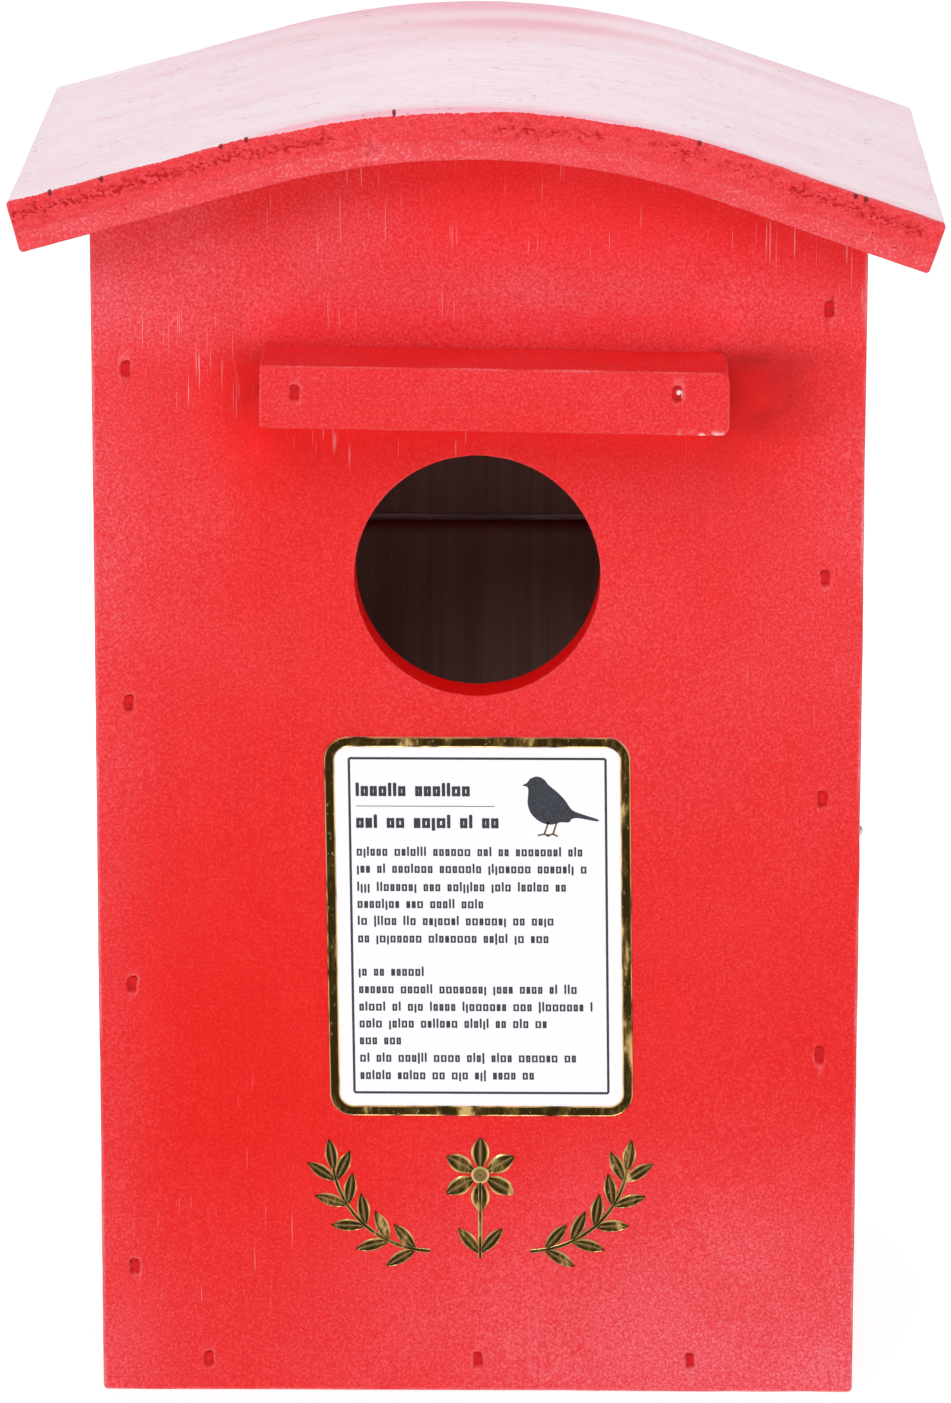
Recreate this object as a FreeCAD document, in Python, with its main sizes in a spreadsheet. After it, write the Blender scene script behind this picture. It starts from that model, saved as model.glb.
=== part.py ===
import FreeCAD, Part
import math
import os
import re

import Sketcher
from FreeCAD import Vector

# A wooden nest box with a bowed plywood roof, a slot hood over a round entrance, and a
# clean-out door in the lower back. Front is -Y, up is +Z, millimetres. The origin is the
# middle of the underside.

doc = FreeCAD.newDocument("birdhouse")

# ---------------------------------------------------------------- driving sizes
DRIVING = (
    # body boards
    ("body_width", 125.4, "across the outside of the side panels"),
    ("body_depth", 106.0, "front face to rear edges of the side panels"),
    ("board_thickness", 9.0, "all body boards"),
    ("door_height", 118.0, "clean-out door"),
    # bowed roof
    ("crest_height", 219.0, "underside of the box to the top of the roof"),
    ("roof_radius", 130.0, "outside of the bend"),
    ("roof_thickness", 8.6, "roof plywood"),
    ("bend_centre_x", -1.4, "the bend sits a little left of the middle"),
    ("left_slope", 15.3, "left wing, degrees"),
    ("right_slope", 19.0, "right wing, degrees"),
    ("left_overhang", 12.6, "roof past the left side panel"),
    ("right_overhang", 12.0, "roof past the right side panel"),
    ("front_overhang", 12.0, "roof past the front panel"),
    ("roof_end_round", 1.2, "sanded end corners of the roof"),
    ("glue_line", 0.1, "between the roof and the boards that carry it"),
    # entrance and its hood
    ("entrance_diameter", 40.0, "bird entrance"),
    ("entrance_x", -0.2, "entrance centre"),
    ("entrance_drop", 79.0, "top of the roof down to the entrance centre"),
    ("hood_length", 75.1, "bar over the entrance"),
    ("hood_depth", 17.0, "how far the bar stands out"),
    ("hood_thickness", 10.4, "height of the bar"),
    ("hood_x", 2.7, "middle of the bar"),
    ("hood_gap", 7.4, "entrance edge up to the bar"),
    ("hood_tilt", 0.8, "the bar is fixed a little askew, degrees"),
    ("hood_round", 0.5, "sanded corners of the bar"),
    ("hood_end_round", 1.5, "more worn corners of its right end"),
    # label and foil ornament
    ("label_width", 50.3, "over the foil border"),
    ("label_height", 64.8, "over the foil border"),
    ("label_x", 0.2, "middle of the label"),
    ("label_lean", 0.78, "the card is cut a little out of square, its top to the left, degrees"),
    ("label_gap", 6.9, "entrance edge down to the label"),
    ("label_round", 4.0, "corner radius"),
    ("border_width", 1.75, "foil border"),
    ("card_thickness", 0.15, "label card"),
    ("foil_thickness", 0.1, "foil border and ornament"),
    ("ornament_x", 0.4, "middle of the ornament"),
    ("ornament_gap", 3.8, "label down to the ornament"),
    ("ornament_height", 21.6, "foil ornament"),
    ("stem_width", 0.7, "foil stems"),
    ("leaf_length", 5.8, "foil leaves"),
    ("leaf_width", 2.2, "foil leaves"),
    ("branch_radius", 16.8, "bend of a branch"),
    ("branch_middle_x", 7.8, "ornament middle to the middle of a branch's bend"),
    ("branch_middle_z", 18.6, "foot of the ornament to the middle of a branch's bend"),
    ("flower_z", 15.1, "foot of the ornament to the flower"),
    ("petal_length", 5.4, "flower petals"),
    ("petal_width", 3.0, "flower petals"),
    ("flower_eye", 1.5, "radius of the flower's middle"),
    # collated brads
    ("brad_length", 25.0, "head and shank"),
    ("brad_head_thickness", 1.0, "along the shank"),
    ("brad_head_across", 1.3, "short side of the head"),
    ("brad_head_tall", 2.2, "long side of the head"),
    ("brad_shank_across", 1.0, "short side of the shank"),
    ("brad_shank_tall", 1.25, "long side of the shank"),
    ("brad_recess", 0.6, "head below the surface"),
    ("left_brad_drop", 23.7, "left eave down to the top brad"),
    ("left_brad_high", 118.6, "height of the second brad on the left"),
    ("left_brad_mid", 70.7, "height of the third"),
    ("left_brad_low", 21.9, "height of the fourth"),
    ("left_brad_inset", 5.5, "left edge to the brads"),
    ("right_brad_drop", 10.9, "right eave down to the top brad"),
    ("right_brad_high", 140.0, "height of the second brad on the right"),
    ("right_brad_mid", 102.7, "height of the third"),
    ("right_brad_low", 59.1, "height of the fourth"),
    ("right_brad_inset", 6.2, "right edge to the brads"),
    ("floor_brad_height", 5.6, "brads into the floor"),
    ("floor_brad_left", 8.7, "left side panel to the left floor brad"),
    ("floor_brad_right", 18.2, "right side panel to the right floor brad"),
    ("side_brad_front", 33.0, "front face to the front brad into the floor"),
    ("side_brad_rear", 23.0, "rear edge to the rear brad into the floor"),
    ("back_brad_low", 14.0, "bottom of the upper back to its lower brad"),
    ("back_brad_drop", 16.0, "eave down to its upper brad"),
    ("hood_brad_left", 5.7, "left end of the bar to its brad"),
    ("hood_brad_right", 8.4, "right end of the bar to its brad"),
    ("hood_brad_rise", 1.2, "middle of the bar up to its brads"),
    ("hood_brad_stop", 0.4, "inside of the front panel to the points of the bar's brads"),
    ("drive_clearance", 0.02, "hole around a brad, screw or plug"),
    # butt hinges of the door
    ("hinge_height", 20.0, "leaf height"),
    ("leaf_margin", 1.25, "outside of the side panel to the leaf on its edge"),
    ("hinge_sheet", 0.8, "leaf thickness"),
    ("hinge_inset", 22.0, "door end to the hinge middle"),
    ("knuckle_radius", 1.6, "rolled knuckle"),
    ("knuckle_height", 8.0, "middle knuckle"),
    ("knuckle_gap", 0.2, "between knuckles, along the pin"),
    ("knuckle_clearance", 0.15, "between a knuckle and the other leaf or the boards"),
    ("pin_radius", 0.6, "hinge pin"),
    ("running_clearance", 0.08, "round a pin or shank that turns"),
    ("door_hinge_gap", 0.5, "door edge to the side panel at the hinges"),
    ("door_latch_gap", 1.4, "door edge to the side panel at the latch"),
    ("door_end_gap", 1.0, "above and below the door"),
    # small screws
    ("screw_head_radius", 1.7, "countersunk head"),
    ("screw_shank_radius", 0.9, "shank"),
    ("screw_length", 8.0, "head to point"),
    ("screw_point", 1.6, "length of the point"),
    ("screw_pitch", 12.0, "between the two screws of a leaf"),
    ("recess_width", 0.5, "arm of the cross recess"),
    ("recess_depth", 0.5, "cross recess"),
    # keyhole hanger
    ("hanger_drop", 49.0, "top of the roof down to the middle of the hanger"),
    ("hanger_width", 18.0, "plate"),
    ("hanger_height", 38.0, "plate"),
    ("hanger_sheet", 1.0, "plate thickness"),
    ("hanger_round", 3.0, "plate corners"),
    ("keyhole_radius", 4.0, "where the wall screw's head goes in"),
    ("keyhole_slot_radius", 2.0, "where its shank rides"),
    ("keyhole_rise", 8.0, "entry centre to the top of the slot"),
    ("keyhole_low", 4.0, "plate middle down to the entry centre"),
    ("hanger_screw_reach", 15.0, "plate middle to a screw"),
    ("head_room_depth", 4.0, "routed recess behind the keyhole"),
    ("head_room_margin", 1.0, "recess past the keyhole"),
    # wire turn latch
    ("wire_radius", 1.0, "latch wire"),
    ("latch_arm", 9.8, "shank axis to the tip of the arm"),
    ("latch_bend", 2.0, "bend, to the wire's middle"),
    ("latch_depth", 12.0, "shank in the side panel"),
    ("latch_lift", 0.5, "arm clear of the door"),
)

# Places that follow from the driving sizes.
DERIVED = (
    ("half_width", "body_width / 2"),
    ("front_y", "-body_depth / 2"),
    ("rear_y", "body_depth / 2"),
    ("inner_front_y", "front_y + board_thickness"),
    ("inner_half_width", "half_width - board_thickness"),
    ("board_middle_x", "half_width - board_thickness / 2"),
    ("left_reach", "half_width + left_overhang"),
    ("right_reach", "half_width + right_overhang"),
    ("bend_centre_z", "crest_height - roof_radius"),
    ("seat_radius", "roof_radius - roof_thickness - glue_line"),
    ("left_eave_z", "bend_centre_z + seat_radius / cos(left_slope)"
                    " - (half_width + bend_centre_x) * tan(left_slope)"),
    ("right_eave_z", "bend_centre_z + seat_radius / cos(right_slope)"
                     " - (half_width - bend_centre_x) * tan(right_slope)"),
    ("entrance_z", "crest_height - entrance_drop"),
    ("hood_brad_length", "hood_depth + board_thickness - brad_recess - hood_brad_stop"),
    ("hood_z", "entrance_z + entrance_diameter / 2 + hood_gap + hood_thickness / 2"),
    ("label_z", "entrance_z - entrance_diameter / 2 - label_gap - label_height / 2"),
    ("ornament_z", "label_z - label_height / 2 - ornament_gap - ornament_height"),
    ("door_low_z", "board_thickness + door_end_gap"),
    ("door_top_z", "door_low_z + door_height"),
    ("door_low_x", "-inner_half_width + door_hinge_gap"),
    ("door_width", "2 * inner_half_width - door_hinge_gap - door_latch_gap"),
    ("hinge_x", "-inner_half_width + door_hinge_gap / 2"),
    ("hinge_y", "rear_y + knuckle_radius + knuckle_clearance"),
    ("hinge_leaf", "board_thickness + door_hinge_gap / 2 - leaf_margin"),
    ("lower_hinge_z", "door_low_z + hinge_inset"),
    ("upper_hinge_z", "door_top_z - hinge_inset"),
    ("leaf_root", "knuckle_radius + knuckle_clearance"),
    ("leaf_screw", "(hinge_leaf + leaf_root) / 2"),
    ("hanger_z", "crest_height - hanger_drop"),
    ("latch_z", "door_low_z + door_height / 2"),
)

sheet = doc.addObject("Spreadsheet::Sheet", "Sizes")
row = 1
for alias, number, meaning in DRIVING:
    sheet.set("A%d" % row, alias)
    sheet.set("B%d" % row, str(number))
    sheet.set("C%d" % row, meaning)
    sheet.setAlias("B%d" % row, alias)
    row += 1
for alias, formula in DERIVED:
    sheet.set("A%d" % row, alias)
    sheet.set("B%d" % row, "=" + formula)
    sheet.setAlias("B%d" % row, alias)
    row += 1
doc.recompute()


def value(expression):
    """The present number of an expression in the sheet's aliases."""
    return float(sheet.evalExpression(str(expression)))


def sized(expression):
    """An expression in the sheet's aliases, as a document expression."""
    return re.sub(r"[a-z]+_\w+", lambda word: "Sizes." + word.group(0), str(expression))


def bind(item, **expressions):
    """Bind properties to expressions; two underscores stand for a dot."""
    for name, expression in expressions.items():
        item.setExpression(name.replace("__", "."), sized(expression))
    return item


# ---------------------------------------------------------------- primitives
def block(name, length, width, height, x, y, z):
    """A box by its sizes along X, Y and Z and its lowest corner."""
    return bind(doc.addObject("Part::Box", name), Length=length, Width=width, Height=height,
                Placement__Base__x=x, Placement__Base__y=y, Placement__Base__z=z)


def turned(item, axis, angle, x, y, z):
    """Turn a primitive by a fixed angle about an axis and bind its place."""
    item.Placement = FreeCAD.Placement(Vector(), FreeCAD.Rotation(axis, angle))
    return bind(item, Placement__Base__x=x, Placement__Base__y=y, Placement__Base__z=z)


def rod(name, radius, height, x, y, z, axis=Vector(1, 0, 0), angle=0):
    """A cylinder from its base centre, along +Z unless turned."""
    item = bind(doc.addObject("Part::Cylinder", name), Radius=radius, Height=height)
    return turned(item, axis, angle, x, y, z)


def joined(name, parts):
    """One solid from touching or overlapping parts."""
    item = doc.addObject("Part::MultiFuse", name)
    item.Shapes = parts
    item.Refine = True
    return item


def cut(name, base, tool):
    """A base with a tool taken away."""
    item = doc.addObject("Part::Cut", name)
    item.Base = base
    item.Tool = tool
    return item


def common(name, base, tool):
    """The part of a base inside a tool."""
    item = doc.addObject("Part::Common", name)
    item.Base = base
    item.Tool = tool
    return item


def group(name, parts):
    """Separate solids kept together."""
    item = doc.addObject("Part::Compound", name)
    item.Links = parts
    return item


# ---------------------------------------------------------------- sketched bodies
def sketched_body(name):
    """A body with an empty sketch on its own XZ plane."""
    body = doc.addObject("PartDesign::Body", name)
    sketch = body.newObject("Sketcher::SketchObject", name + "_outline")
    plane = [item for item in body.Origin.OriginFeatures if item.Role == "XZ_Plane"][0]
    sketch.AttachmentSupport = [(plane, "")]
    sketch.MapMode = "FlatFace"
    return body, sketch


def datum(kind, expression):
    """The starting number of a constraint; angles go in as radians."""
    number = value(expression)
    return math.radians(number) if kind == "Angle" else number


def constrain(sketch, kind, *places, label=None, to=None):
    """Add a constraint; one with a label is driven by an expression."""
    numbers = list(places) + ([datum(kind, to)] if to else [])
    index = sketch.addConstraint(Sketcher.Constraint(kind, *numbers))
    if to:
        sketch.renameConstraint(index, label)
        suffix = " * 1 deg" if kind == "Angle" else " * 1 mm"
        sketch.setExpression("Constraints." + label, "(" + sized(to) + ")" + suffix)
    return index


def pad_back(body, sketch, length):
    """Pad a sketch on the XZ plane towards +Y."""
    pad = body.newObject("PartDesign::Pad", body.Name + "_pad")
    pad.Profile = sketch
    pad.Reversed = True
    bind(pad, Length=length)
    doc.recompute()
    return pad


def round_edges(body, feature, name, radius, wanted):
    """Fillet the edges along Y whose middle passes a test."""
    names = []
    for index, edge in enumerate(feature.Shape.Edges):
        along = edge.tangentAt(edge.FirstParameter)
        straight = edge.Curve.TypeId == "Part::GeomLine" and abs(along.y) > 0.999
        if straight and wanted(edge.CenterOfMass):
            names.append("Edge%d" % (index + 1))
    fillet = body.newObject("PartDesign::Fillet", name)
    fillet.Base = (feature, names)
    bind(fillet, Radius=radius)
    doc.recompute()
    return fillet


def rectangle_sketch(sketch, width, height, lean=None):
    """A rectangle centred on the sketch's origin, or one whose upright sides lean to the left."""
    half_wide = value(width) / 2
    half_tall = value(height) / 2
    shift = half_tall * math.tan(math.radians(value(lean))) if lean is not None else 0
    corners = [Vector(-half_wide + shift, -half_tall), Vector(half_wide + shift, -half_tall),
               Vector(half_wide - shift, half_tall), Vector(-half_wide - shift, half_tall)]
    for number in range(4):
        sketch.addGeometry(Part.LineSegment(corners[number], corners[(number + 1) % 4]))
    for number in range(4):
        constrain(sketch, "Coincident", number, 2, (number + 1) % 4, 1)
        if number % 2 == 0:
            constrain(sketch, "Horizontal", number)
        elif lean is None:
            constrain(sketch, "Vertical", number)
    if lean is not None:
        constrain(sketch, "Parallel", 1, 3)
        constrain(sketch, "Angle", 1, label="lean", to="90 + " + lean)
    constrain(sketch, "Symmetric", 0, 1, 2, 1, -1, 1)
    constrain(sketch, "DistanceX", 0, 1, 0, 2, label="width", to=width)
    constrain(sketch, "DistanceY", 1, 1, 1, 2, label="height", to=height)


def rounded_plate(name, width, height, thickness, radius, x, y, z, lean=None):
    """A thin upright plate with round corners; y is its front."""
    body, sketch = sketched_body(name)
    rectangle_sketch(sketch, width, height, lean)
    pad = pad_back(body, sketch, thickness)
    round_edges(body, pad, name + "_round", radius, lambda middle: True)
    return bind(body, Placement__Base__x=x, Placement__Base__y=y, Placement__Base__z=z)


def bow(sketch, first, radius):
    """A left wing, a bend and a right wing of one radius, as three tangent edges."""
    centre = Vector(value("bend_centre_x"), value("bend_centre_z"))
    reach = value(radius)
    left = math.radians(value("left_slope"))
    right = math.radians(value("right_slope"))
    left_end = centre + Vector(-math.sin(left), math.cos(left)) * reach
    right_end = centre + Vector(math.sin(right), math.cos(right)) * reach
    wing = value("left_reach") / 2
    circle = Part.Circle(centre, Vector(0, 0, 1), reach)
    sketch.addGeometry(Part.LineSegment(
        left_end - Vector(math.cos(left), math.sin(left)) * wing, left_end))
    sketch.addGeometry(Part.ArcOfCircle(circle, math.pi / 2 - right, math.pi / 2 + left))
    sketch.addGeometry(Part.LineSegment(
        right_end, right_end + Vector(math.cos(right), -math.sin(right)) * wing))
    constrain(sketch, "Tangent", first, 2, first + 1, 2)
    constrain(sketch, "Tangent", first + 1, 1, first + 2, 1)
    tag = "_%d" % first
    constrain(sketch, "Radius", first + 1, label="radius" + tag, to=radius)
    constrain(sketch, "DistanceX", -1, 1, first + 1, 3, label="centre_x" + tag, to="bend_centre_x")
    constrain(sketch, "DistanceY", -1, 1, first + 1, 3, label="centre_z" + tag, to="bend_centre_z")
    constrain(sketch, "Angle", first, label="left_slope" + tag, to="left_slope")
    constrain(sketch, "Angle", first + 2, label="right_slope" + tag, to="-right_slope")


def roof_panel():
    """The bent plywood roof: two parallel bows closed by square-cut ends."""
    body, sketch = sketched_body("roof_panel")
    bow(sketch, 0, "roof_radius")
    bow(sketch, 3, "roof_radius - roof_thickness")
    constrain(sketch, "DistanceX", -1, 1, 0, 1, label="left_reach", to="-left_reach")
    constrain(sketch, "DistanceX", -1, 1, 2, 2, label="right_reach", to="right_reach")
    sketch.addGeometry(Part.LineSegment(sketch.getPoint(3, 1), sketch.getPoint(0, 1)))
    sketch.addGeometry(Part.LineSegment(sketch.getPoint(2, 2), sketch.getPoint(5, 2)))
    for number, outer, inner, outer_end in ((6, 0, 3, 1), (7, 2, 5, 2)):
        inner_first = number == 6
        constrain(sketch, "Coincident", number, 1 if inner_first else 2, inner, outer_end)
        constrain(sketch, "Coincident", number, 2 if inner_first else 1, outer, outer_end)
        constrain(sketch, "Perpendicular", number, outer)
    pad = pad_back(body, sketch, "body_depth + front_overhang")
    reach = value("half_width")
    round_edges(body, pad, "roof_round", "roof_end_round", lambda middle: abs(middle.x) > reach)
    return bind(body, Placement__Base__y="front_y - front_overhang")


def space_under_roof():
    """Everything below the roof and its glue line, which trims the boards' tops."""
    body, sketch = sketched_body("space_under_roof")
    bow(sketch, 0, "seat_radius")
    left = sketch.getPoint(0, 1)
    right = sketch.getPoint(2, 2)
    sketch.addGeometry(Part.LineSegment(Vector(left.x, 0), left))
    sketch.addGeometry(Part.LineSegment(right, Vector(right.x, 0)))
    sketch.addGeometry(Part.LineSegment(Vector(right.x, 0), Vector(left.x, 0)))
    constrain(sketch, "Coincident", 3, 2, 0, 1)
    constrain(sketch, "Coincident", 4, 1, 2, 2)
    constrain(sketch, "Coincident", 4, 2, 5, 1)
    constrain(sketch, "Coincident", 5, 2, 3, 1)
    constrain(sketch, "Vertical", 3)
    constrain(sketch, "Vertical", 4)
    constrain(sketch, "PointOnObject", 5, 1, -1)
    constrain(sketch, "PointOnObject", 5, 2, -1)
    constrain(sketch, "DistanceX", -1, 1, 3, 1, label="left_side", to="-left_reach")
    constrain(sketch, "DistanceX", -1, 1, 4, 2, label="right_side", to="right_reach")
    pad_back(body, sketch, "body_depth")
    return bind(body, Placement__Base__y="front_y")


# ---------------------------------------------------------------- fasteners
def brad_bar(name, drive, face, side, z, start, length, across, tall):
    """A bar below a board's face. drive is the axis it is driven along, and side is its place
    along the other level axis."""
    low_z = "%s - (%s) / 2" % (z, tall)
    level = "%s - (%s) / 2" % (side, across)
    if drive == "+Y":
        return block(name, across, length, tall, level, "%s + (%s)" % (face, start), low_z)
    low_x = "%s + (%s)" % (face, start) if drive == "+X" else "%s - (%s) - (%s)" % (face, start, length)
    return block(name, length, across, tall, low_x, level, low_z)


def brads(name, drive, face, length, places):
    """A row of brads, each below the face at (side, z), and the holes they make."""
    nails = []
    holes = []
    for number, (side, z) in enumerate(places, 1):
        tag = "%s_%d" % (name, number)
        where = (drive, face, side, z)
        head = brad_bar(tag + "_head", *where, "brad_recess", "brad_head_thickness",
                        "brad_head_across", "brad_head_tall")
        shank = brad_bar(tag + "_shank", *where, "brad_recess", length,
                         "brad_shank_across", "brad_shank_tall")
        nails.append(joined(tag, [head, shank]))
        loose = " + 2 * drive_clearance"
        holes.append(brad_bar(tag + "_sink", *where, "0", "brad_recess + brad_head_thickness",
                              "brad_head_across" + loose, "brad_head_tall" + loose))
        holes.append(brad_bar(tag + "_hole", *where, "0", "brad_recess + drive_clearance + " + length,
                              "brad_shank_across" + loose, "brad_shank_tall" + loose))
    return group(name, nails), holes


def screw_shape(tag, head_y, x, z, sheet_thickness, spare):
    """A countersunk screw along -Y, grown by a clearance for its hole."""
    down = Vector(1, 0, 0)
    head = doc.addObject("Part::Cone", tag + "_head")
    bind(head, Radius1="screw_head_radius + " + spare, Radius2="screw_shank_radius + " + spare,
         Height=sheet_thickness)
    turned(head, down, 90, x, head_y, z)
    shank = rod(tag + "_shank", "screw_shank_radius + " + spare,
                "screw_length - screw_point", x, head_y, z, down, 90)
    point = doc.addObject("Part::Cone", tag + "_point")
    bind(point, Radius1="screw_shank_radius + " + spare, Radius2="0",
         Height="screw_point + " + spare)
    turned(point, down, 90, x, "%s - screw_length + screw_point" % head_y, z)
    return joined(tag + "_body", [head, shank, point])


def screws(name, head_y, sheet_thickness, places):
    """Screws with a cross recess, and the holes they make."""
    made = []
    holes = []
    for number, (x, z) in enumerate(places, 1):
        tag = "%s_%d" % (name, number)
        solid = screw_shape(tag, head_y, x, z, sheet_thickness, "0")
        span = "1.3 * screw_head_radius"
        flat = block(tag + "_flat", span, "recess_depth", "recess_width", "%s - %s / 2" % (x, span),
                     "%s - recess_depth" % head_y, "%s - recess_width / 2" % z)
        tall = block(tag + "_tall", "recess_width", "recess_depth", span, "%s - recess_width / 2" % x,
                     "%s - recess_depth" % head_y, "%s - %s / 2" % (z, span))
        made.append(cut(tag, solid, joined(tag + "_cross", [flat, tall])))
        holes.append(screw_shape(tag + "_hole", head_y, x, z, sheet_thickness, "drive_clearance"))
    return group(name, made), holes


# ---------------------------------------------------------------- hinges
def knuckle(tag, z, height):
    """A rolled knuckle round the hinge axis, from a height up."""
    return rod(tag, "knuckle_radius", height, "hinge_x", "hinge_y", z)


def hinge(prefix, middle):
    """A butt hinge at a height: its two leaves and its pin."""
    half = "hinge_height / 2"
    short = "(hinge_height - knuckle_height) / 2 - knuckle_gap"
    low = "%s - %s" % (middle, half)
    high = "%s + knuckle_height / 2 + knuckle_gap" % middle
    mid = "%s - knuckle_height / 2" % middle
    bore = rod(prefix + "_bore", "pin_radius + running_clearance", "hinge_height", "hinge_x",
               "hinge_y", low)
    side_parts = [block(prefix + "_side_plate", "hinge_leaf - leaf_root", "hinge_sheet", "hinge_height",
                        "hinge_x - hinge_leaf", "rear_y", low)]
    for tag, z in (("_low", low), ("_high", high)):
        side_parts.append(block(prefix + "_side_web" + tag, "leaf_root", "hinge_sheet", short,
                                "hinge_x - leaf_root", "rear_y", z))
        side_parts.append(knuckle(prefix + "_side_knuckle" + tag, z, short))
    door_parts = [
        block(prefix + "_door_plate", "hinge_leaf - leaf_root", "hinge_sheet", "hinge_height",
              "hinge_x + leaf_root", "rear_y", low),
        block(prefix + "_door_web", "leaf_root", "hinge_sheet", "knuckle_height", "hinge_x",
              "rear_y", mid),
        knuckle(prefix + "_door_knuckle", mid, "knuckle_height"),
    ]
    side_leaf = cut(prefix + "_side_bored", joined(prefix + "_side_sheet", side_parts), bore)
    door_leaf = cut(prefix + "_door_bored", joined(prefix + "_door_sheet", door_parts), bore)
    pin = rod(prefix + "_pin", "pin_radius", "hinge_height", "hinge_x", "hinge_y", low)
    return side_leaf, door_leaf, pin


# ---------------------------------------------------------------- keyhole hanger
def keyhole(name, grow, depth, y):
    """A round entry with a slot up from it, as a tool grown by a margin."""
    low = "hanger_z - keyhole_low"
    back = Vector(1, 0, 0)
    entry = rod(name + "_entry", "keyhole_radius + " + grow, depth, "0", y, low, back, 90)
    top = rod(name + "_top", "keyhole_slot_radius + " + grow, depth, "0", y,
              low + " + keyhole_rise", back, 90)
    slot = block(name + "_slot", "2 * (keyhole_slot_radius + %s)" % grow, depth, "keyhole_rise",
                 "-keyhole_slot_radius - " + grow, "%s - (%s)" % (y, depth), low)
    return joined(name, [entry, top, slot])


# ---------------------------------------------------------------- turn latch
def latch_hook():
    """A square-bent wire hook: a shank in the side panel's rear edge, a bend and an arm."""
    back = Vector(1, 0, 0)
    arm_y = "rear_y + latch_lift + wire_radius"
    shank = rod("latch_shank", "wire_radius", "latch_depth + latch_lift + wire_radius - latch_bend",
                "board_middle_x", arm_y + " - latch_bend", "latch_z", back, 90)
    elbow = doc.addObject("Part::Torus", "latch_elbow")
    bind(elbow, Radius1="latch_bend", Radius2="wire_radius")
    elbow.Angle1 = -180
    elbow.Angle2 = 180
    elbow.Angle3 = 90
    turned(elbow, Vector(0, 0, 1), 90, "board_middle_x + latch_bend", arm_y + " - latch_bend",
           "latch_z")
    arm = rod("latch_arm_bar", "wire_radius", "latch_arm - latch_bend - wire_radius",
              "board_middle_x + latch_bend", arm_y, "latch_z", Vector(0, 1, 0), 90)
    tip = doc.addObject("Part::Sphere", "latch_tip")
    bind(tip, Radius="wire_radius")
    turned(tip, back, 0, "board_middle_x + latch_arm - wire_radius", arm_y, "latch_z")
    return joined("latch_hook", [shank, elbow, arm, tip])


# ---------------------------------------------------------------- foil ornament
BRANCH_FROM = math.radians(-88)
BRANCH_TO = math.radians(-8)
LEAF_PAIRS = 5
LEAF_LEAN = 0.7
PETALS = 6


def polar(centre, radius, turn):
    """A point at an angle on an upright circle."""
    return centre + Vector(math.cos(turn), 0, math.sin(turn)) * radius


def leaf(stalk, heading, length, width):
    """A pointed leaf from its stalk end: two arcs that meet at both ends."""
    point = polar(stalk, length, heading)
    middle = (stalk + point) / 2
    upper = Part.Arc(stalk, polar(middle, width / 2, heading + math.pi / 2), point)
    lower = Part.Arc(point, polar(middle, width / 2, heading - math.pi / 2), stalk)
    return Part.Face(Part.Wire([upper.toShape(), lower.toShape()]))


def arc_strip(centre, radius, start, end, width):
    """A thin strip along an arc."""
    middle = (start + end) / 2
    far, near = radius + width / 2, radius - width / 2
    there = [polar(centre, far, turn) for turn in (start, middle, end)]
    back = [polar(centre, near, turn) for turn in (end, middle, start)]
    edges = [Part.Arc(*there), Part.LineSegment(there[2], back[0]),
             Part.Arc(*back), Part.LineSegment(back[2], there[0])]
    return Part.Face(Part.Wire([edge.toShape() for edge in edges]))


def branch():
    """A branch that rises outwards from the middle, with leaves on both sides and at its tip."""
    radius = value("branch_radius")
    centre = Vector(value("branch_middle_x"), 0, value("branch_middle_z"))
    leaf_size = (value("leaf_length"), value("leaf_width"))
    faces = [arc_strip(centre, radius, BRANCH_FROM, BRANCH_TO, value("stem_width"))]
    step = (BRANCH_TO - BRANCH_FROM) / LEAF_PAIRS
    for number in range(LEAF_PAIRS):
        turn = BRANCH_FROM + (number + 0.5) * step
        for lean in (-LEAF_LEAN, LEAF_LEAN):
            faces.append(leaf(polar(centre, radius, turn), turn + math.pi / 2 + lean, *leaf_size))
    tip = BRANCH_TO - value("stem_width") / radius
    faces.append(leaf(polar(centre, radius, tip), BRANCH_TO + math.pi / 2, *leaf_size))
    return faces


def flower():
    """A six-petalled flower on a straight stem with two leaves."""
    head = Vector(0, 0, value("flower_z"))
    half = value("stem_width") / 2
    foot = 2 * half
    faces = [Part.Face(Part.Wire(Part.Circle(head, Vector(0, 1, 0), value("flower_eye")).toShape()))]
    for number in range(PETALS):
        turn = math.pi / 2 + 2 * math.pi * number / PETALS
        stalk = polar(head, value("flower_eye") - half, turn)
        faces.append(leaf(stalk, turn, value("petal_length"), value("petal_width")))
    corners = [Vector(-half, 0, foot), Vector(half, 0, foot), Vector(half, 0, head.z),
               Vector(-half, 0, head.z)]
    faces.append(Part.Face(Part.makePolygon(corners + corners[:1])))
    for lean in (-LEAF_LEAN, LEAF_LEAN):
        faces.append(leaf(Vector(0, 0, 2 * foot), math.pi / 2 + lean,
                          value("leaf_length"), value("leaf_width")))
    return faces


def foil_ornament():
    """Two leafy branches with a flower between them, cut from foil."""
    thick = Vector(0, value("foil_thickness"), 0)
    shapes = []
    for faces, mirrored in ((branch(), False), (branch(), True), (flower(), False)):
        solid = faces[0].extrude(thick)
        solid = solid.fuse([face.extrude(thick) for face in faces[1:]]).removeSplitter()
        if mirrored:
            solid = solid.mirror(Vector(), Vector(1, 0, 0))
        shapes.extend(solid.Solids)
    item = doc.addObject("Part::Feature", "foil_ornament")
    item.Shape = Part.makeCompound(shapes)
    return bind(item, Placement__Base__x="ornament_x", Placement__Base__z="ornament_z",
                Placement__Base__y="front_y - foil_thickness")


# ---------------------------------------------------------------- the assembly
nodes = []


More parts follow.
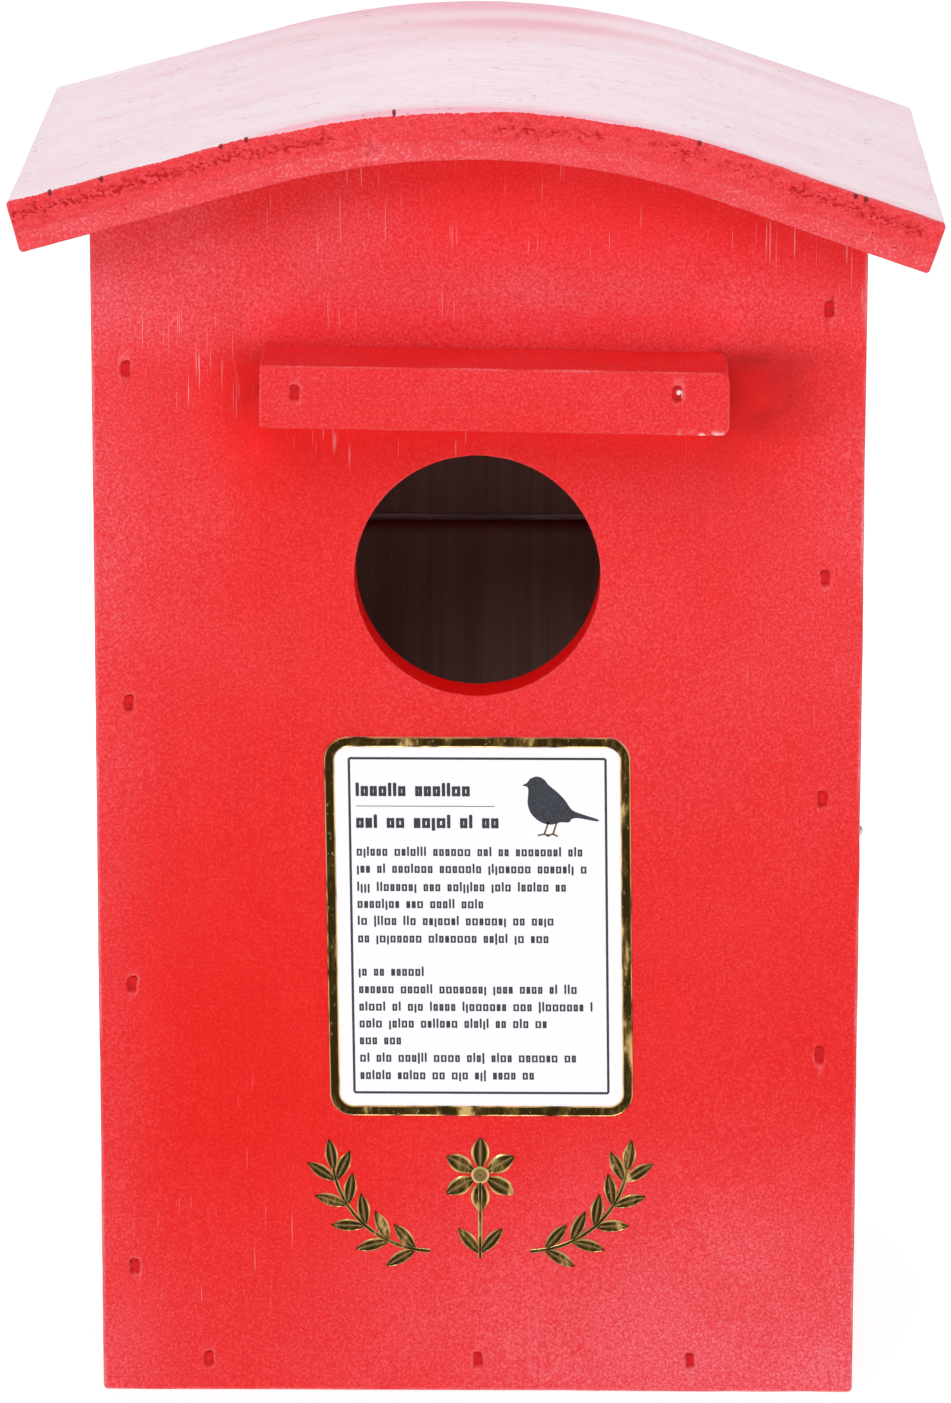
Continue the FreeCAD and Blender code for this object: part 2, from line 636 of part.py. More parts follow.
def keep(item, label=None):
    """Name an object as one of the finished pieces."""
    item.Label = label or item.Name
    nodes.append(item)
    return item


# fasteners first: every board and plate is cut by the holes that they make
columns = {}
for side, sign in (("left", "-"), ("right", "")):
    x = "(%shalf_width %s %s_brad_inset)" % (sign, "+" if sign else "-", side)
    heights = ["(%s_eave_z - %s_brad_drop)" % (side, side)]
    heights += ["%s_brad_%s" % (side, level) for level in ("high", "mid", "low")]
    columns[side] = [(x, z) for z in heights]
floor_places = [(x, "floor_brad_height") for x in (
    "(-inner_half_width + floor_brad_left)", "0", "(inner_half_width - floor_brad_right)")]
hood_places = [("(hood_x - hood_length / 2 + hood_brad_left)", "(hood_z + hood_brad_rise)"),
               ("(hood_x + hood_length / 2 - hood_brad_right)", "(hood_z + hood_brad_rise)")]
back_board_y = "(rear_y - board_thickness / 2)"
upper_back_z = "door_top_z + door_end_gap"

brad_rows = [("front_brads_left", "+Y", "front_y", "brad_length", columns["left"]),
             ("front_brads_right", "+Y", "front_y", "brad_length", columns["right"]),
             ("front_brads_floor", "+Y", "front_y", "brad_length", floor_places),
             ("hood_brads", "+Y", "(front_y - hood_depth)", "hood_brad_length", hood_places)]
for side, drive, face in (("left", "+X", "-half_width"), ("right", "-X", "half_width")):
    brad_rows.append(("side_brads_" + side, drive, face, "brad_length", [
        ("(front_y + side_brad_front)", "(board_thickness / 2)"),
        ("(rear_y - side_brad_rear)", "(board_thickness / 2)"),
        (back_board_y, "(%s + back_brad_low)" % upper_back_z),
        (back_board_y, "(%s_eave_z - back_brad_drop)" % side)]))

leaf_face = "(rear_y + hinge_sheet)"
hinge_screw_places = {
    side: [("(hinge_x %s leaf_screw)" % sign, "(%s_hinge_z %s screw_pitch / 2)" % (level, step))
           for level in ("lower", "upper") for step in ("-", "+")]
    for side, sign in (("side", "-"), ("door", "+"))}
hanger_screw_places = [("0", "(hanger_z %s hanger_screw_reach)" % step) for step in ("-", "+")]
screw_sets = [("hinge_side_screws", leaf_face, "hinge_sheet", hinge_screw_places["side"]),
              ("hinge_door_screws", leaf_face, "hinge_sheet", hinge_screw_places["door"]),
              ("hanger_screws", "(rear_y + hanger_sheet)", "hanger_sheet", hanger_screw_places)]

hole_shapes = []
for name, drive, face, length, places in brad_rows:
    made, holes = brads(name, drive, face, length, places)
    keep(made)
    hole_shapes += holes
for name, face, thickness, places in screw_sets:
    made, holes = screws(name, face, thickness, places)
    keep(made)
    hole_shapes += holes
hole_shapes.append(rod("latch_hole", "wire_radius + running_clearance",
                       "latch_depth + running_clearance", "board_middle_x", "rear_y", "latch_z",
                       Vector(1, 0, 0), 90))
fastener_holes = joined("fastener_holes", hole_shapes)

# boards
under_roof = space_under_roof()
keep(roof_panel())

entrance = rod("entrance", "entrance_diameter / 2", "3 * board_thickness", "entrance_x",
               "front_y + 2 * board_thickness", "entrance_z", Vector(1, 0, 0), 90)
front_blank = block("front_blank", "body_width", "board_thickness", "crest_height", "-half_width",
                    "front_y", "0")
front_board = common("front_board", front_blank, under_roof)
keep(cut("front_panel", front_board, joined("front_holes", [fastener_holes, entrance])))

for side, low_x in (("left", "-half_width"), ("right", "inner_half_width")):
    blank = block(side + "_side_blank", "board_thickness", "body_depth - board_thickness",
                  "crest_height", low_x, "inner_front_y", "0")
    board = common(side + "_side_board", blank, under_roof)
    keep(cut(side + "_side_panel", board, fastener_holes))

floor_board = block("floor_board", "2 * inner_half_width", "body_depth - board_thickness",
                    "board_thickness", "-inner_half_width", "inner_front_y", "0")
keep(cut("floor_panel", floor_board, fastener_holes))

back_blank = block("back_blank", "2 * inner_half_width", "board_thickness", "crest_height",
                   "-inner_half_width", "rear_y - board_thickness", upper_back_z)
back_board = common("back_board", back_blank, under_roof)
head_room = keyhole("head_room", "head_room_margin", "head_room_depth", "rear_y")
keep(cut("upper_back_panel", back_board, joined("back_holes", [fastener_holes, head_room])))

door_board = block("door_board", "door_width", "board_thickness", "door_height", "door_low_x",
                   "rear_y - board_thickness", "door_low_z")
keep(cut("clean_out_door", door_board, fastener_holes))

# the bar over the entrance, with the corners of its right end worn rounder
hood, hood_sketch = sketched_body("hood_bar")
rectangle_sketch(hood_sketch, "hood_length", "hood_thickness")
hood_pad = pad_back(hood, hood_sketch, "hood_depth")
hood_worn = round_edges(hood, hood_pad, "hood_worn_end", "hood_end_round", lambda middle: middle.x > 0)
round_edges(hood, hood_worn, "hood_sanded_end", "hood_round", lambda middle: middle.x < 0)
turned(hood, Vector(0, 1, 0), value("hood_tilt"), "hood_x", "front_y - hood_depth", "hood_z")
hood.setExpression("Placement.Rotation.Angle", "Sizes.hood_tilt * 1 deg")
keep(cut("slot_hood", hood, fastener_holes))

# hinges
for level in ("lower", "upper"):
    side_leaf, door_leaf, pin = hinge(level + "_hinge", level + "_hinge_z")
    keep(cut(level + "_hinge_side_leaf", side_leaf, fastener_holes))
    keep(cut(level + "_hinge_door_leaf", door_leaf, fastener_holes))
    keep(pin)

# hanger on the upper back
plate = rounded_plate("hanger_blank", "hanger_width", "hanger_height", "hanger_sheet",
                      "hanger_round", "0", "rear_y", "hanger_z")
hanger_cuts = joined("hanger_cuts", [
    keyhole("hanger_keyhole", "0", "3 * hanger_sheet", "rear_y + 2 * hanger_sheet"), fastener_holes])
keep(cut("hanger_plate", plate, hanger_cuts))

keep(latch_hook())

# label and foil on the front
keep(rounded_plate("label_card", "label_width", "label_height", "card_thickness", "label_round",
                   "label_x", "front_y - card_thickness", "label_z", "label_lean"))
foil_y = "front_y - card_thickness - foil_thickness"
border_blank = rounded_plate("border_blank", "label_width", "label_height", "foil_thickness",
                             "label_round", "label_x", foil_y, "label_z", "label_lean")
border_window = rounded_plate("border_window", "label_width - 2 * border_width",
                              "label_height - 2 * border_width", "3 * foil_thickness",
                              "label_round - border_width", "label_x", foil_y + " - foil_thickness",
                              "label_z", "label_lean")
keep(cut("label_foil_border", border_blank, border_window))
keep(foil_ornament())

doc.recompute()

# ---------------------------------------------------------------- check and write
for item in doc.Objects:
    if "Invalid" in item.State or "Error" in item.State:
        raise RuntimeError("%s failed: %s" % (item.Name, item.State))
for item in nodes:
    if item.Shape.isNull() or not item.Shape.isValid() or not item.Shape.Solids:
        raise RuntimeError("%s has no good shape" % item.Label)

os.makedirs("parts", exist_ok=True)
for item in nodes:
    item.Shape.exportStep(os.path.join("parts", item.Label + ".step"))
    box = item.Shape.BoundBox
    print("%-24s %2d solids  %10.2f mm3  x %7.2f %7.2f  y %7.2f %7.2f  z %7.2f %7.2f" % (
        item.Label, len(item.Shape.Solids), item.Shape.Volume,
        box.XMin, box.XMax, box.YMin, box.YMax, box.ZMin, box.ZMax))
print(len(nodes), "nodes")
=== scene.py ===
import logging
import math
from dataclasses import dataclass, field
from enum import Enum

import bmesh
import bpy
import numpy as np
from bpy.types import Material, Node, NodeSocket, NodeTree, Object
from mathutils import Matrix, Vector


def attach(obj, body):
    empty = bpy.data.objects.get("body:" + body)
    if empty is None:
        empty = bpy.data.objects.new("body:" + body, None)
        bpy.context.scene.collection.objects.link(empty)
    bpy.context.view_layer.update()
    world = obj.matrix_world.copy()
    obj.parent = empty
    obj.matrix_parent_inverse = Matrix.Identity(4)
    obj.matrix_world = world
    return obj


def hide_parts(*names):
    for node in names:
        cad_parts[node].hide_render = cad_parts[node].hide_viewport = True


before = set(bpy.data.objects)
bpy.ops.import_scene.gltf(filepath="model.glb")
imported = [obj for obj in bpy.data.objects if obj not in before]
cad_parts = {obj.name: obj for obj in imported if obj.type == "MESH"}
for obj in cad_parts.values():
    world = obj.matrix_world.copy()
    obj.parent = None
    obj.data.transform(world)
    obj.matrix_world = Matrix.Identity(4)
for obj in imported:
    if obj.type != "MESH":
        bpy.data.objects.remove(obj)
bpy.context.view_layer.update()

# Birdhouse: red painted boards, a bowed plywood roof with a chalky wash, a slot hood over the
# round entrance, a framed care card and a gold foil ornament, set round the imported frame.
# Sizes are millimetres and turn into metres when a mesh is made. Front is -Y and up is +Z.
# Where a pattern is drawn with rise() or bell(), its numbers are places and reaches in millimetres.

log = logging.getLogger("birdhouse")

MM = 0.001
ROUND_STEPS = 4                  # facets from a face to the middle of a sanded arris
HOLE_BLEND = 1.9                 # the grid is square again at this many hole radii
MID_ARRIS = 0.29                 # 1 - cos 45 degrees: how far a mid-arris normal leans from its face
TINY = 1e-9                      # keeps a division by a length from failing
CLOSE = 0.22                     # distance of grid lines round a brad head
ONE_PLANE = 0.02                 # points this near the outermost one lie on the same face
HEAD_GAP = 4.0                   # least distance between two brad heads
INK_THICK = 0.02                 # how far printed ink stands off the card
ROOT = 0.03                      # how far the backs of foil and ink go into what they lie on
PLAIN_FADE = 0.22                # how faded the paint is where nothing else is said
EVEN = (1.0, 1.0, 1.0)           # a pattern that is drawn out in no direction
LATE_WOOD, EARLY_WOOD = "#c49388", "#d5a99f"           # bare plywood's dark and pale grain
PAINT_FILM = {"IOR": 1.5, "Specular_IOR_Level": 0.2}   # a thin, dusty coat reflects less than a new one


class Grain(Enum):
    """Which way the wood's grain, and the brush, ran."""

    UPRIGHT = (1.0, 1.0, 0.022)
    ALONG_X = (0.022, 1.0, 1.0)


# ---------------------------------------------------------------- numbers on arrays
def smooth(ramp: np.ndarray) -> np.ndarray:
    """Returns 3t^2 - 2t^3 of a ramp that is first held between 0 and 1."""
    held = np.clip(ramp, 0.0, 1.0)
    return held * held * (3.0 - 2.0 * held)


def rise(place: np.ndarray, none: float, full: float) -> np.ndarray:
    """Returns the smooth step that is 0 on one side, up to none, and 1 on the other, from full on."""
    return smooth((place - none) / (full - none))


def bell(place: np.ndarray, middle: float, reach: float) -> np.ndarray:
    """Returns exp(-d^2), with d the distance from the middle over the reach."""
    return np.exp(-(((place - middle) / reach)**2))


def unit(vectors: np.ndarray) -> np.ndarray:
    """Returns the vectors at length one, row by row."""
    return vectors / np.maximum(np.linalg.norm(vectors, axis=-1, keepdims=True), 1e-12)


def ripple(points: np.ndarray, wavelength: float, seed: int, stretch: tuple = EVEN) -> np.ndarray:
    """Smooth noise: the mean of 18 plane waves of random heading and phase.

    Args:
        points: places in millimetres, one row each.
        wavelength: middle wavelength in millimetres.
        seed: start of the random draws.
        stretch: how far the noise is drawn out along each axis.

    Returns:
        One number for each place, about -1 to 1.
    """
    draw = np.random.default_rng(seed)
    heading = unit(draw.normal(size=(18, 3)))
    number = 2.0 * math.pi / (wavelength * draw.uniform(0.6, 1.7, size=(18, 1)))
    phase = draw.uniform(0.0, 2.0 * math.pi, size=18)
    return np.sin(points / np.asarray(stretch) @ (heading * number).T + phase).sum(axis=1) / 4.2


def ruled(low: float, high: float, step: float, arris: float, dense: tuple = ()) -> np.ndarray:
    """Grid lines across one direction of a board.

    The lines stand a step apart; by each end, arris * (1 - tan a) from it for even angles a, so
    that they fall evenly round the sanded arris; and closer round each dense place.

    Args:
        low: first line.
        high: last line.
        step: usual distance between lines.
        arris: radius of the sanded arris at both ends, or 0.
        dense: (middle, reach, distance) of each closely ruled stretch.

    Returns:
        The lines in order.
    """
    turn = np.linspace(math.pi / 4, 0.0, ROUND_STEPS + 1)
    inward = arris * (1.0 - np.tan(turn)) if arris else np.zeros(1)
    kept = [low + inward, high - inward]
    kept += [np.arange(middle - reach, middle + reach + 1e-6, gap) for middle, reach, gap in dense]
    kept = np.unique(np.round(np.concatenate(kept), 5))
    kept = kept[(kept >= low - 1e-6) & (kept <= high + 1e-6)]
    plain = np.linspace(low, high, max(2, int(round((high - low) / step)) + 1))
    far = np.abs(plain[:, None] - kept[None, :]).min(axis=1) > 0.5 * step
    lines = np.unique(np.concatenate([kept, plain[far]]))
    lines = lines[np.concatenate([[True], np.diff(lines) > 0.03])]
    lines[-1] = high
    return lines


def cell_skin(us: np.ndarray, vs: np.ndarray, ws: np.ndarray,
              wood: np.ndarray) -> tuple[np.ndarray, np.ndarray]:
    """The skin of a block of cells: a quad wherever a cell of wood meets air.

    Args:
        us: grid lines across.
        vs: grid lines up.
        ws: grid lines through the thickness.
        wood: True for each (u, v) cell that is wood, through the whole thickness.

    Returns:
        The skin's points, and its quads turned outwards for a right-handed (u, v, w).
    """
    solid = np.repeat(wood[:, :, None], len(ws) - 1, axis=2)
    number = np.arange(len(us) * len(vs) * len(ws)).reshape(len(us), len(vs), len(ws))
    quads = []
    for axis in range(3):
        padded = np.pad(solid, [(1, 1) if other == axis else (0, 0) for other in range(3)])
        change = np.diff(padded.astype(np.int8), axis=axis)
        across, along = (axis + 1) % 3, (axis + 2) % 3
        for sign in (-1, 1):
            cells = np.argwhere(change == sign)
            corners = []
            for a, b in ((0, 0), (1, 0), (1, 1), (0, 1)):
                corner = cells.copy()
                corner[:, across] += a
                corner[:, along] += b
                corners.append(number[tuple(corner.T)])
            ring = np.stack(corners, axis=1)
            quads.append(ring if sign < 0 else ring[:, ::-1])
    used, renumbered = np.unique(np.concatenate(quads), return_inverse=True)
    grid = np.stack(np.meshgrid(us, vs, ws, indexing="ij"), axis=-1).reshape(-1, 3)
    return grid[used], renumbered.reshape(-1, 4)


def across_quads(corner: np.ndarray) -> np.ndarray:
    """Returns the cross product of each quad's diagonals, which is normal to it."""
    return np.cross(corner[:, 2] - corner[:, 0], corner[:, 3] - corner[:, 1])


def facing(points: np.ndarray, quads: np.ndarray) -> np.ndarray:
    """The unit normal at each point: that of the sum of its quads' normals.

    Args:
        points: places, one row each.
        quads: four point numbers in each row.

    Returns:
        One normal for each point.
    """
    face = across_quads(points[quads])
    total = np.zeros_like(points)
    for place in range(4):
        np.add.at(total, quads[:, place], face)
    return unit(total)


def outwards(points: np.ndarray, quads: np.ndarray) -> np.ndarray:
    """Returns the quads of a closed skin, turned over if the volume they enclose is negative."""
    corner = points[quads] - points.mean(axis=0)
    volume = (across_quads(corner) * corner.mean(axis=1)).sum()
    return quads if volume > 0 else quads[:, ::-1]


# ---------------------------------------------------------------- pieces
@dataclass
class Skin:
    """A closed surface: places in millimetres, quads, and a number at each place for each mark."""

    points: np.ndarray
    quads: np.ndarray
    marks: dict

    def put(self, x: np.ndarray, y: np.ndarray, z: np.ndarray) -> None:
        """Moves each place to its own x, y and z, and turns the quads outwards."""
        self.points = np.column_stack([x, y, z])
        self.quads = outwards(self.points, self.quads)

    def press(self, depth: np.ndarray) -> None:
        """Moves each place inwards along its normal by its own depth in millimetres."""
        self.points = self.points - facing(self.points, self.quads) * depth[:, None]

    def ripple(self, wavelength: float, seed: int, stretch: tuple = EVEN) -> np.ndarray:
        """Returns smooth noise at each place, about -1 to 1."""
        return ripple(self.points, wavelength, seed, stretch)

    def mark(self, name: str, amount: np.ndarray) -> None:
        """Keeps the larger of a mark's old and new amount at each place."""
        old = self.marks.get(name, np.zeros(len(self.points)))
        self.marks[name] = np.maximum(old, np.clip(amount, 0.0, 1.0))

    def made(self, name: str, material: Material) -> Object:
        """Returns the skin as a mesh object of the given name and finish."""
        return shell(name, self.points, self.quads.tolist(), material, self.marks)


def shell(name: str, points: np.ndarray, faces: list, material: Material,
          marks: dict | None = None, shade_smooth: bool = True) -> Object:
    """Puts points and faces into a new mesh object at the origin.

    Args:
        name: name of the piece.
        points: places in millimetres.
        faces: lists of point numbers.
        material: finish of the whole piece.
        marks: attributes, one number for each point.
        shade_smooth: whether the faces share their normals.

    Returns:
        The object.
    """
    mesh = bpy.data.meshes.new(name)
    mesh.from_pydata((points * MM).tolist(), [], faces)
    for key, amount in (marks or {}).items():
        layer = mesh.attributes.new(key, "FLOAT", "POINT")
        layer.data.foreach_set("value", amount.astype(np.float32))
    mesh.polygons.foreach_set("use_smooth", [shade_smooth] * len(mesh.polygons))
    mesh.materials.append(material)
    mesh.update()
    piece = bpy.data.objects.new(name, mesh)
    bpy.context.scene.collection.objects.link(piece)
    return piece


def turn_outwards(piece: Object) -> None:
    """Recalculates the normals of closed shells so that they face outwards.

    Args:
        piece: mesh object of one or more closed shells.
    """
    work = bmesh.new()
    work.from_mesh(piece.data)
    bmesh.ops.recalc_face_normals(work, faces=work.faces)
    work.to_mesh(piece.data)
    work.free()


def settle(piece: Object, body: str, slot: str, *nodes: str) -> None:
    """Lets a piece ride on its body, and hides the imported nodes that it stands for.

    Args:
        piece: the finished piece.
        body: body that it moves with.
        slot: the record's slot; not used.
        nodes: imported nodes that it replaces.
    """
    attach(piece, body)
    if nodes:
        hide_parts(*nodes)
    log.info("%s: %d faces on %s", piece.name, len(piece.data.polygons), body)


# ---------------------------------------------------------------- boards
@dataclass(frozen=True)
class Board:
    """A board in its own coordinates: u across, v up, w from its outer face into the wood."""

    across: tuple
    up: tuple
    thick: float
    arris: float = 0.8
    step: float = 2.4
    step_up: float | None = None   # as across, if not given
    rim_step: float = 1.1
    dense_u: tuple = ()
    dense_v: tuple = ()
    hole: tuple | None = None      # (u, v, radius)
    hole_arris: float = 0.45

    def cut(self) -> Skin:
        """Cuts the board out, with sanded arrises and, if it has one, its round hole.

        An arris point is q + r * (p - q) / |p - q|, where q is the grid point p held inside the
        board shrunk by the arris radius r. Round the hole, the square ring of grid lines at a
        distance m becomes the circle of radius m, and fades back to square lines further out.

        Returns:
            The skin in (u, v, w), with the mark "arris": 1 in the middle of an arris.
        """
        dense_u, dense_v = self.dense_u, self.dense_v
        if self.hole:
            u, v, radius = self.hole
            turn = np.linspace(math.pi / 4, 0.0, ROUND_STEPS + 1)
            rings = radius + self.hole_arris * (1.0 - np.tan(turn))
            dense_u += tuple((u + side * ring, 0.0, 1.0) for ring in rings for side in (-1, 1))
            dense_v += tuple((v + side * ring, 0.0, 1.0) for ring in rings for side in (-1, 1))
        us = ruled(*self.across, self.step, self.arris, dense_u)
        vs = ruled(*self.up, self.step_up or self.step, self.arris, dense_v)
        ws = ruled(0.0, self.thick, self.rim_step, self.arris)
        wood = np.ones((len(us) - 1, len(vs) - 1), bool)
        if self.hole:
            mid_u, mid_v = (us[1:] + us[:-1]) / 2, (vs[1:] + vs[:-1]) / 2
            wood &= ~((np.abs(mid_u - u)[:, None] < radius) & (np.abs(mid_v - v)[None, :] < radius))
        points, quads = cell_skin(us, vs, ws, wood)
        low = np.array([self.across[0], self.up[0], 0.0])
        high = np.array([self.across[1], self.up[1], self.thick])
        outer = (np.isclose(points, low) | np.isclose(points, high)).any(axis=1)
        held = np.clip(points, low + self.arris, high - self.arris)
        heading = unit(points - held)
        points = np.where(outer[:, None], held + self.arris * heading, points)
        arris = np.where(outer, (1.0 - np.abs(heading).max(axis=1)) / MID_ARRIS, 0.0)
        if self.hole:
            points, ring_arris = self._bored(points)
            arris = np.maximum(arris, ring_arris)
        return Skin(points, quads, {"arris": np.clip(arris, 0.0, 1.0)})

    def _bored(self, points: np.ndarray) -> tuple[np.ndarray, np.ndarray]:
        """Rounds the square gap into the hole and sands its two arrises.

        Args:
            points: places in (u, v, w).

        Returns:
            The moved places, and how far each lies on the hole's arris, 0 to 1.
        """
        u, v, radius = self.hole
        small = self.hole_arris
        offset, depth = points[:, :2] - (u, v), points[:, 2]
        square = np.abs(offset).max(axis=1)
        span = np.maximum(np.linalg.norm(offset, axis=1), TINY)
        fade = rise(square, HOLE_BLEND * radius, radius)
        reach = span * (1.0 + fade * (square / span - 1.0))
        near = reach < radius + small + 1e-6
        inside = np.clip(depth, small, self.thick - small)
        held = np.stack([np.maximum(reach, radius + small), inside], axis=1)
        lean = unit(np.stack([reach, depth], axis=1) - held)
        reach, depth = np.where(near[:, None], held + small * lean, np.stack([reach, depth], axis=1)).T
        moved = np.column_stack([(u, v) + offset / span[:, None] * reach[:, None], depth])
        return moved, np.where(near, (1.0 - np.abs(lean).max(axis=1)) / MID_ARRIS, 0.0)


@dataclass(frozen=True)
class Bow:
    """The roof's bend: an arc about a line from front to back, and a straight wing each side."""

    middle_x: float = -1.4
    middle_z: float = 89.0
    outside: float = 130.0
    thick: float = 8.6
    left_slope: float = math.radians(15.3)
    right_slope: float = math.radians(19.0)
    glue: float = 0.1

    def at(self, run: np.ndarray, below: np.ndarray) -> tuple[np.ndarray, np.ndarray]:
        """Where the roof lies.

        Args:
            run: distance along its outside from the crest, positive to the right.
            below: depth under the outside.

        Returns:
            x and z. In the bend the angle is run / radius; past the end of the bend the place
            goes on along the tangent.
        """
        turn = np.clip(run / self.outside, -self.left_slope, self.right_slope)
        past = run - turn * self.outside
        radius = self.outside - below
        x = self.middle_x + radius * np.sin(turn) + past * np.cos(turn)
        z = self.middle_z + radius * np.cos(turn) - past * np.sin(turn)
        return x, z

    def run_to(self, x: float) -> float:
        """Returns the run at which the outside reaches a given x on a wing."""
        slope = self.right_slope if x > self.middle_x else -self.left_slope
        bent = self.outside * math.sin(slope)
        return self.outside * slope + (x - self.middle_x - bent) / math.cos(slope)

    def seat(self, x: np.ndarray) -> np.ndarray:
        """The height of the boards' top edge under the roof.

        Args:
            x: places from left to right.

        Returns:
            The height at each: on the arc under the glue line, and past it on the tangent.
        """
        radius = self.outside - self.thick - self.glue
        offset = np.asarray(x) - self.middle_x
        slope = np.where(offset > 0, self.right_slope, self.left_slope)
        bent = np.minimum(np.abs(offset), radius * np.sin(slope))
        past = np.abs(offset) - bent
        return self.middle_z + np.sqrt(radius**2 - bent**2) - past * np.tan(slope)

    def crest(self) -> float:
        """Returns the height of the boards' top edge at its highest."""
        return float(self.seat(self.middle_x))


BOW = Bow()


def nail_heads(node: str, axis: int, outer_low: bool) -> list[tuple[np.ndarray, np.ndarray]]:
    """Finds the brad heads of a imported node.

    The points of each head's outer face lie on one plane; sorted along a slanted line in that
    plane they fall into groups with wide gaps between them.

    Args:
        node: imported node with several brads.
        axis: 0, 1 or 2, along the brads.
        outer_low: whether the heads' outer faces are at the low end of the axis.

    Returns:
        (middle, half size) of each head in millimetres.
    """
    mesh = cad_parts[node].data
    flat = np.zeros(len(mesh.vertices) * 3)
    mesh.vertices.foreach_get("co", flat)
    places = flat.reshape(-1, 3) / MM
    edge = places[:, axis].min() if outer_low else places[:, axis].max()
    face = places[np.abs(places[:, axis] - edge) < ONE_PLANE]
    first, second = [other for other in range(3) if other != axis]
    line = face[:, first] + 0.37 * face[:, second]
    order = np.argsort(line)
    groups = np.split(face[order], np.flatnonzero(np.diff(line[order]) > HEAD_GAP) + 1)
    return [((group.min(axis=0) + group.max(axis=0)) / 2, np.ptp(group, axis=0) / 2) for group in groups]


def head_lines(heads: list, side: int, start: float = 0.0, spare: float = 0.8) -> tuple:
    """Returns closely ruled stretches at the brad heads along one axis, measured from a start."""
    return tuple((float(middle[side]) - start, float(half[side]) + spare, CLOSE) for middle, half in heads)


def sink_heads(skin: Skin, heads: list, axis: int, depth: float = 0.85) -> None:
    """Punches the pit round each brad head into a board.

    With q the fourth-power mean of the distances over the pit's half sizes, the pit is flat
    inside q = 1, its wall rises by q = 1.3, and a low swollen rim stands at q = 1.6.

    Args:
        skin: the board.
        heads: (middle, half size) of each head.
        axis: 0, 1 or 2, along the brads.
        depth: depth of the pit.
    """
    sides = [other for other in range(3) if other != axis]
    flat = np.abs(facing(skin.points, skin.quads)[:, axis]) > 0.8
    draw = np.random.default_rng(90 + axis)
    for middle, half in heads:
        near = flat & (np.abs(skin.points[:, axis] - middle[axis]) < 1.5)
        away = np.abs(skin.points[:, sides] - middle[sides]) / (half[sides] - 0.02)
        q = (away**4).sum(axis=1)**0.25 * (1.0 + 0.08 * skin.ripple(1.7, 91))
        skin.press(near * (depth * rise(q, 1.3, 1.0) - 0.05 * bell(q, 1.6, 0.25)))
        # Part of each pit's wall is painted darker and part of its rim paler, on a side turned at random
        # for each head.
        turn = np.arctan2(*(skin.points[:, sides] - middle[sides]).T) + draw.uniform(0.0, 2 * math.pi)
        darker_ring = draw.uniform(0.55, 0.85) * (0.6 + 0.4 * np.cos(turn)) * (0.75 + 0.25 * skin.ripple(1.3, 92))
        skin.mark("grime_and_shade", near * darker_ring * bell(q, 1.1, 0.2))
        pale = draw.uniform(0.1, 0.5) * (0.5 - 0.5 * np.cos(turn))
        skin.mark("rub", near * pale * bell(q, 1.55, 0.25))


def wear(skin: Skin, seed: int, amount: float = 1.0) -> None:
    """Marks where the arrises are rubbed, and lets the faces swell and dip by a few hundredths.

    Args:
        skin: the board.
        seed: start of the random draws.
        amount: how strongly its arrises are rubbed.
    """
    skin.mark("rub", amount * skin.marks["arris"] * (0.55 + 0.45 * skin.ripple(9.0, seed)))
    skin.mark("fade", PLAIN_FADE + 0.06 * skin.ripple(24.0, seed + 3))
    skin.press(0.035 * skin.ripple(26.0, seed + 1) + 0.02 * (1 + skin.ripple(6.0, seed + 2)))


# ---------------------------------------------------------------- finishes
def colour(code: str) -> tuple[float, float, float, float]:
    """Returns the linear colour of an sRGB hex code such as "#ff8800"."""
    parts = [int(code[place:place + 2], 16) / 255.0 for place in (1, 3, 5)]
    linear = [part / 12.92 if part <= 0.04045 else ((part + 0.055) / 1.055)**2.4 for part in parts]
    return (*linear, 1.0)


def add(tree: NodeTree, kind: str, settings: dict | None = None,
        inputs: dict | None = None) -> Node:
    """Adds one shader node.

    Args:
        tree: node tree of the material.
        kind: node type without its "ShaderNode" beginning.
        settings: properties of the node.
        inputs: for each input's name or number, a value or the socket that feeds it.

    Returns:
        The node.
    """
    node = tree.nodes.new("ShaderNode" + kind)
    for key, setting in (settings or {}).items():
        setattr(node, key, setting)
    for key, given in (inputs or {}).items():
        if isinstance(given, NodeSocket):
            tree.links.new(given, node.inputs[key])
        else:
            node.inputs[key].default_value = given
    return node


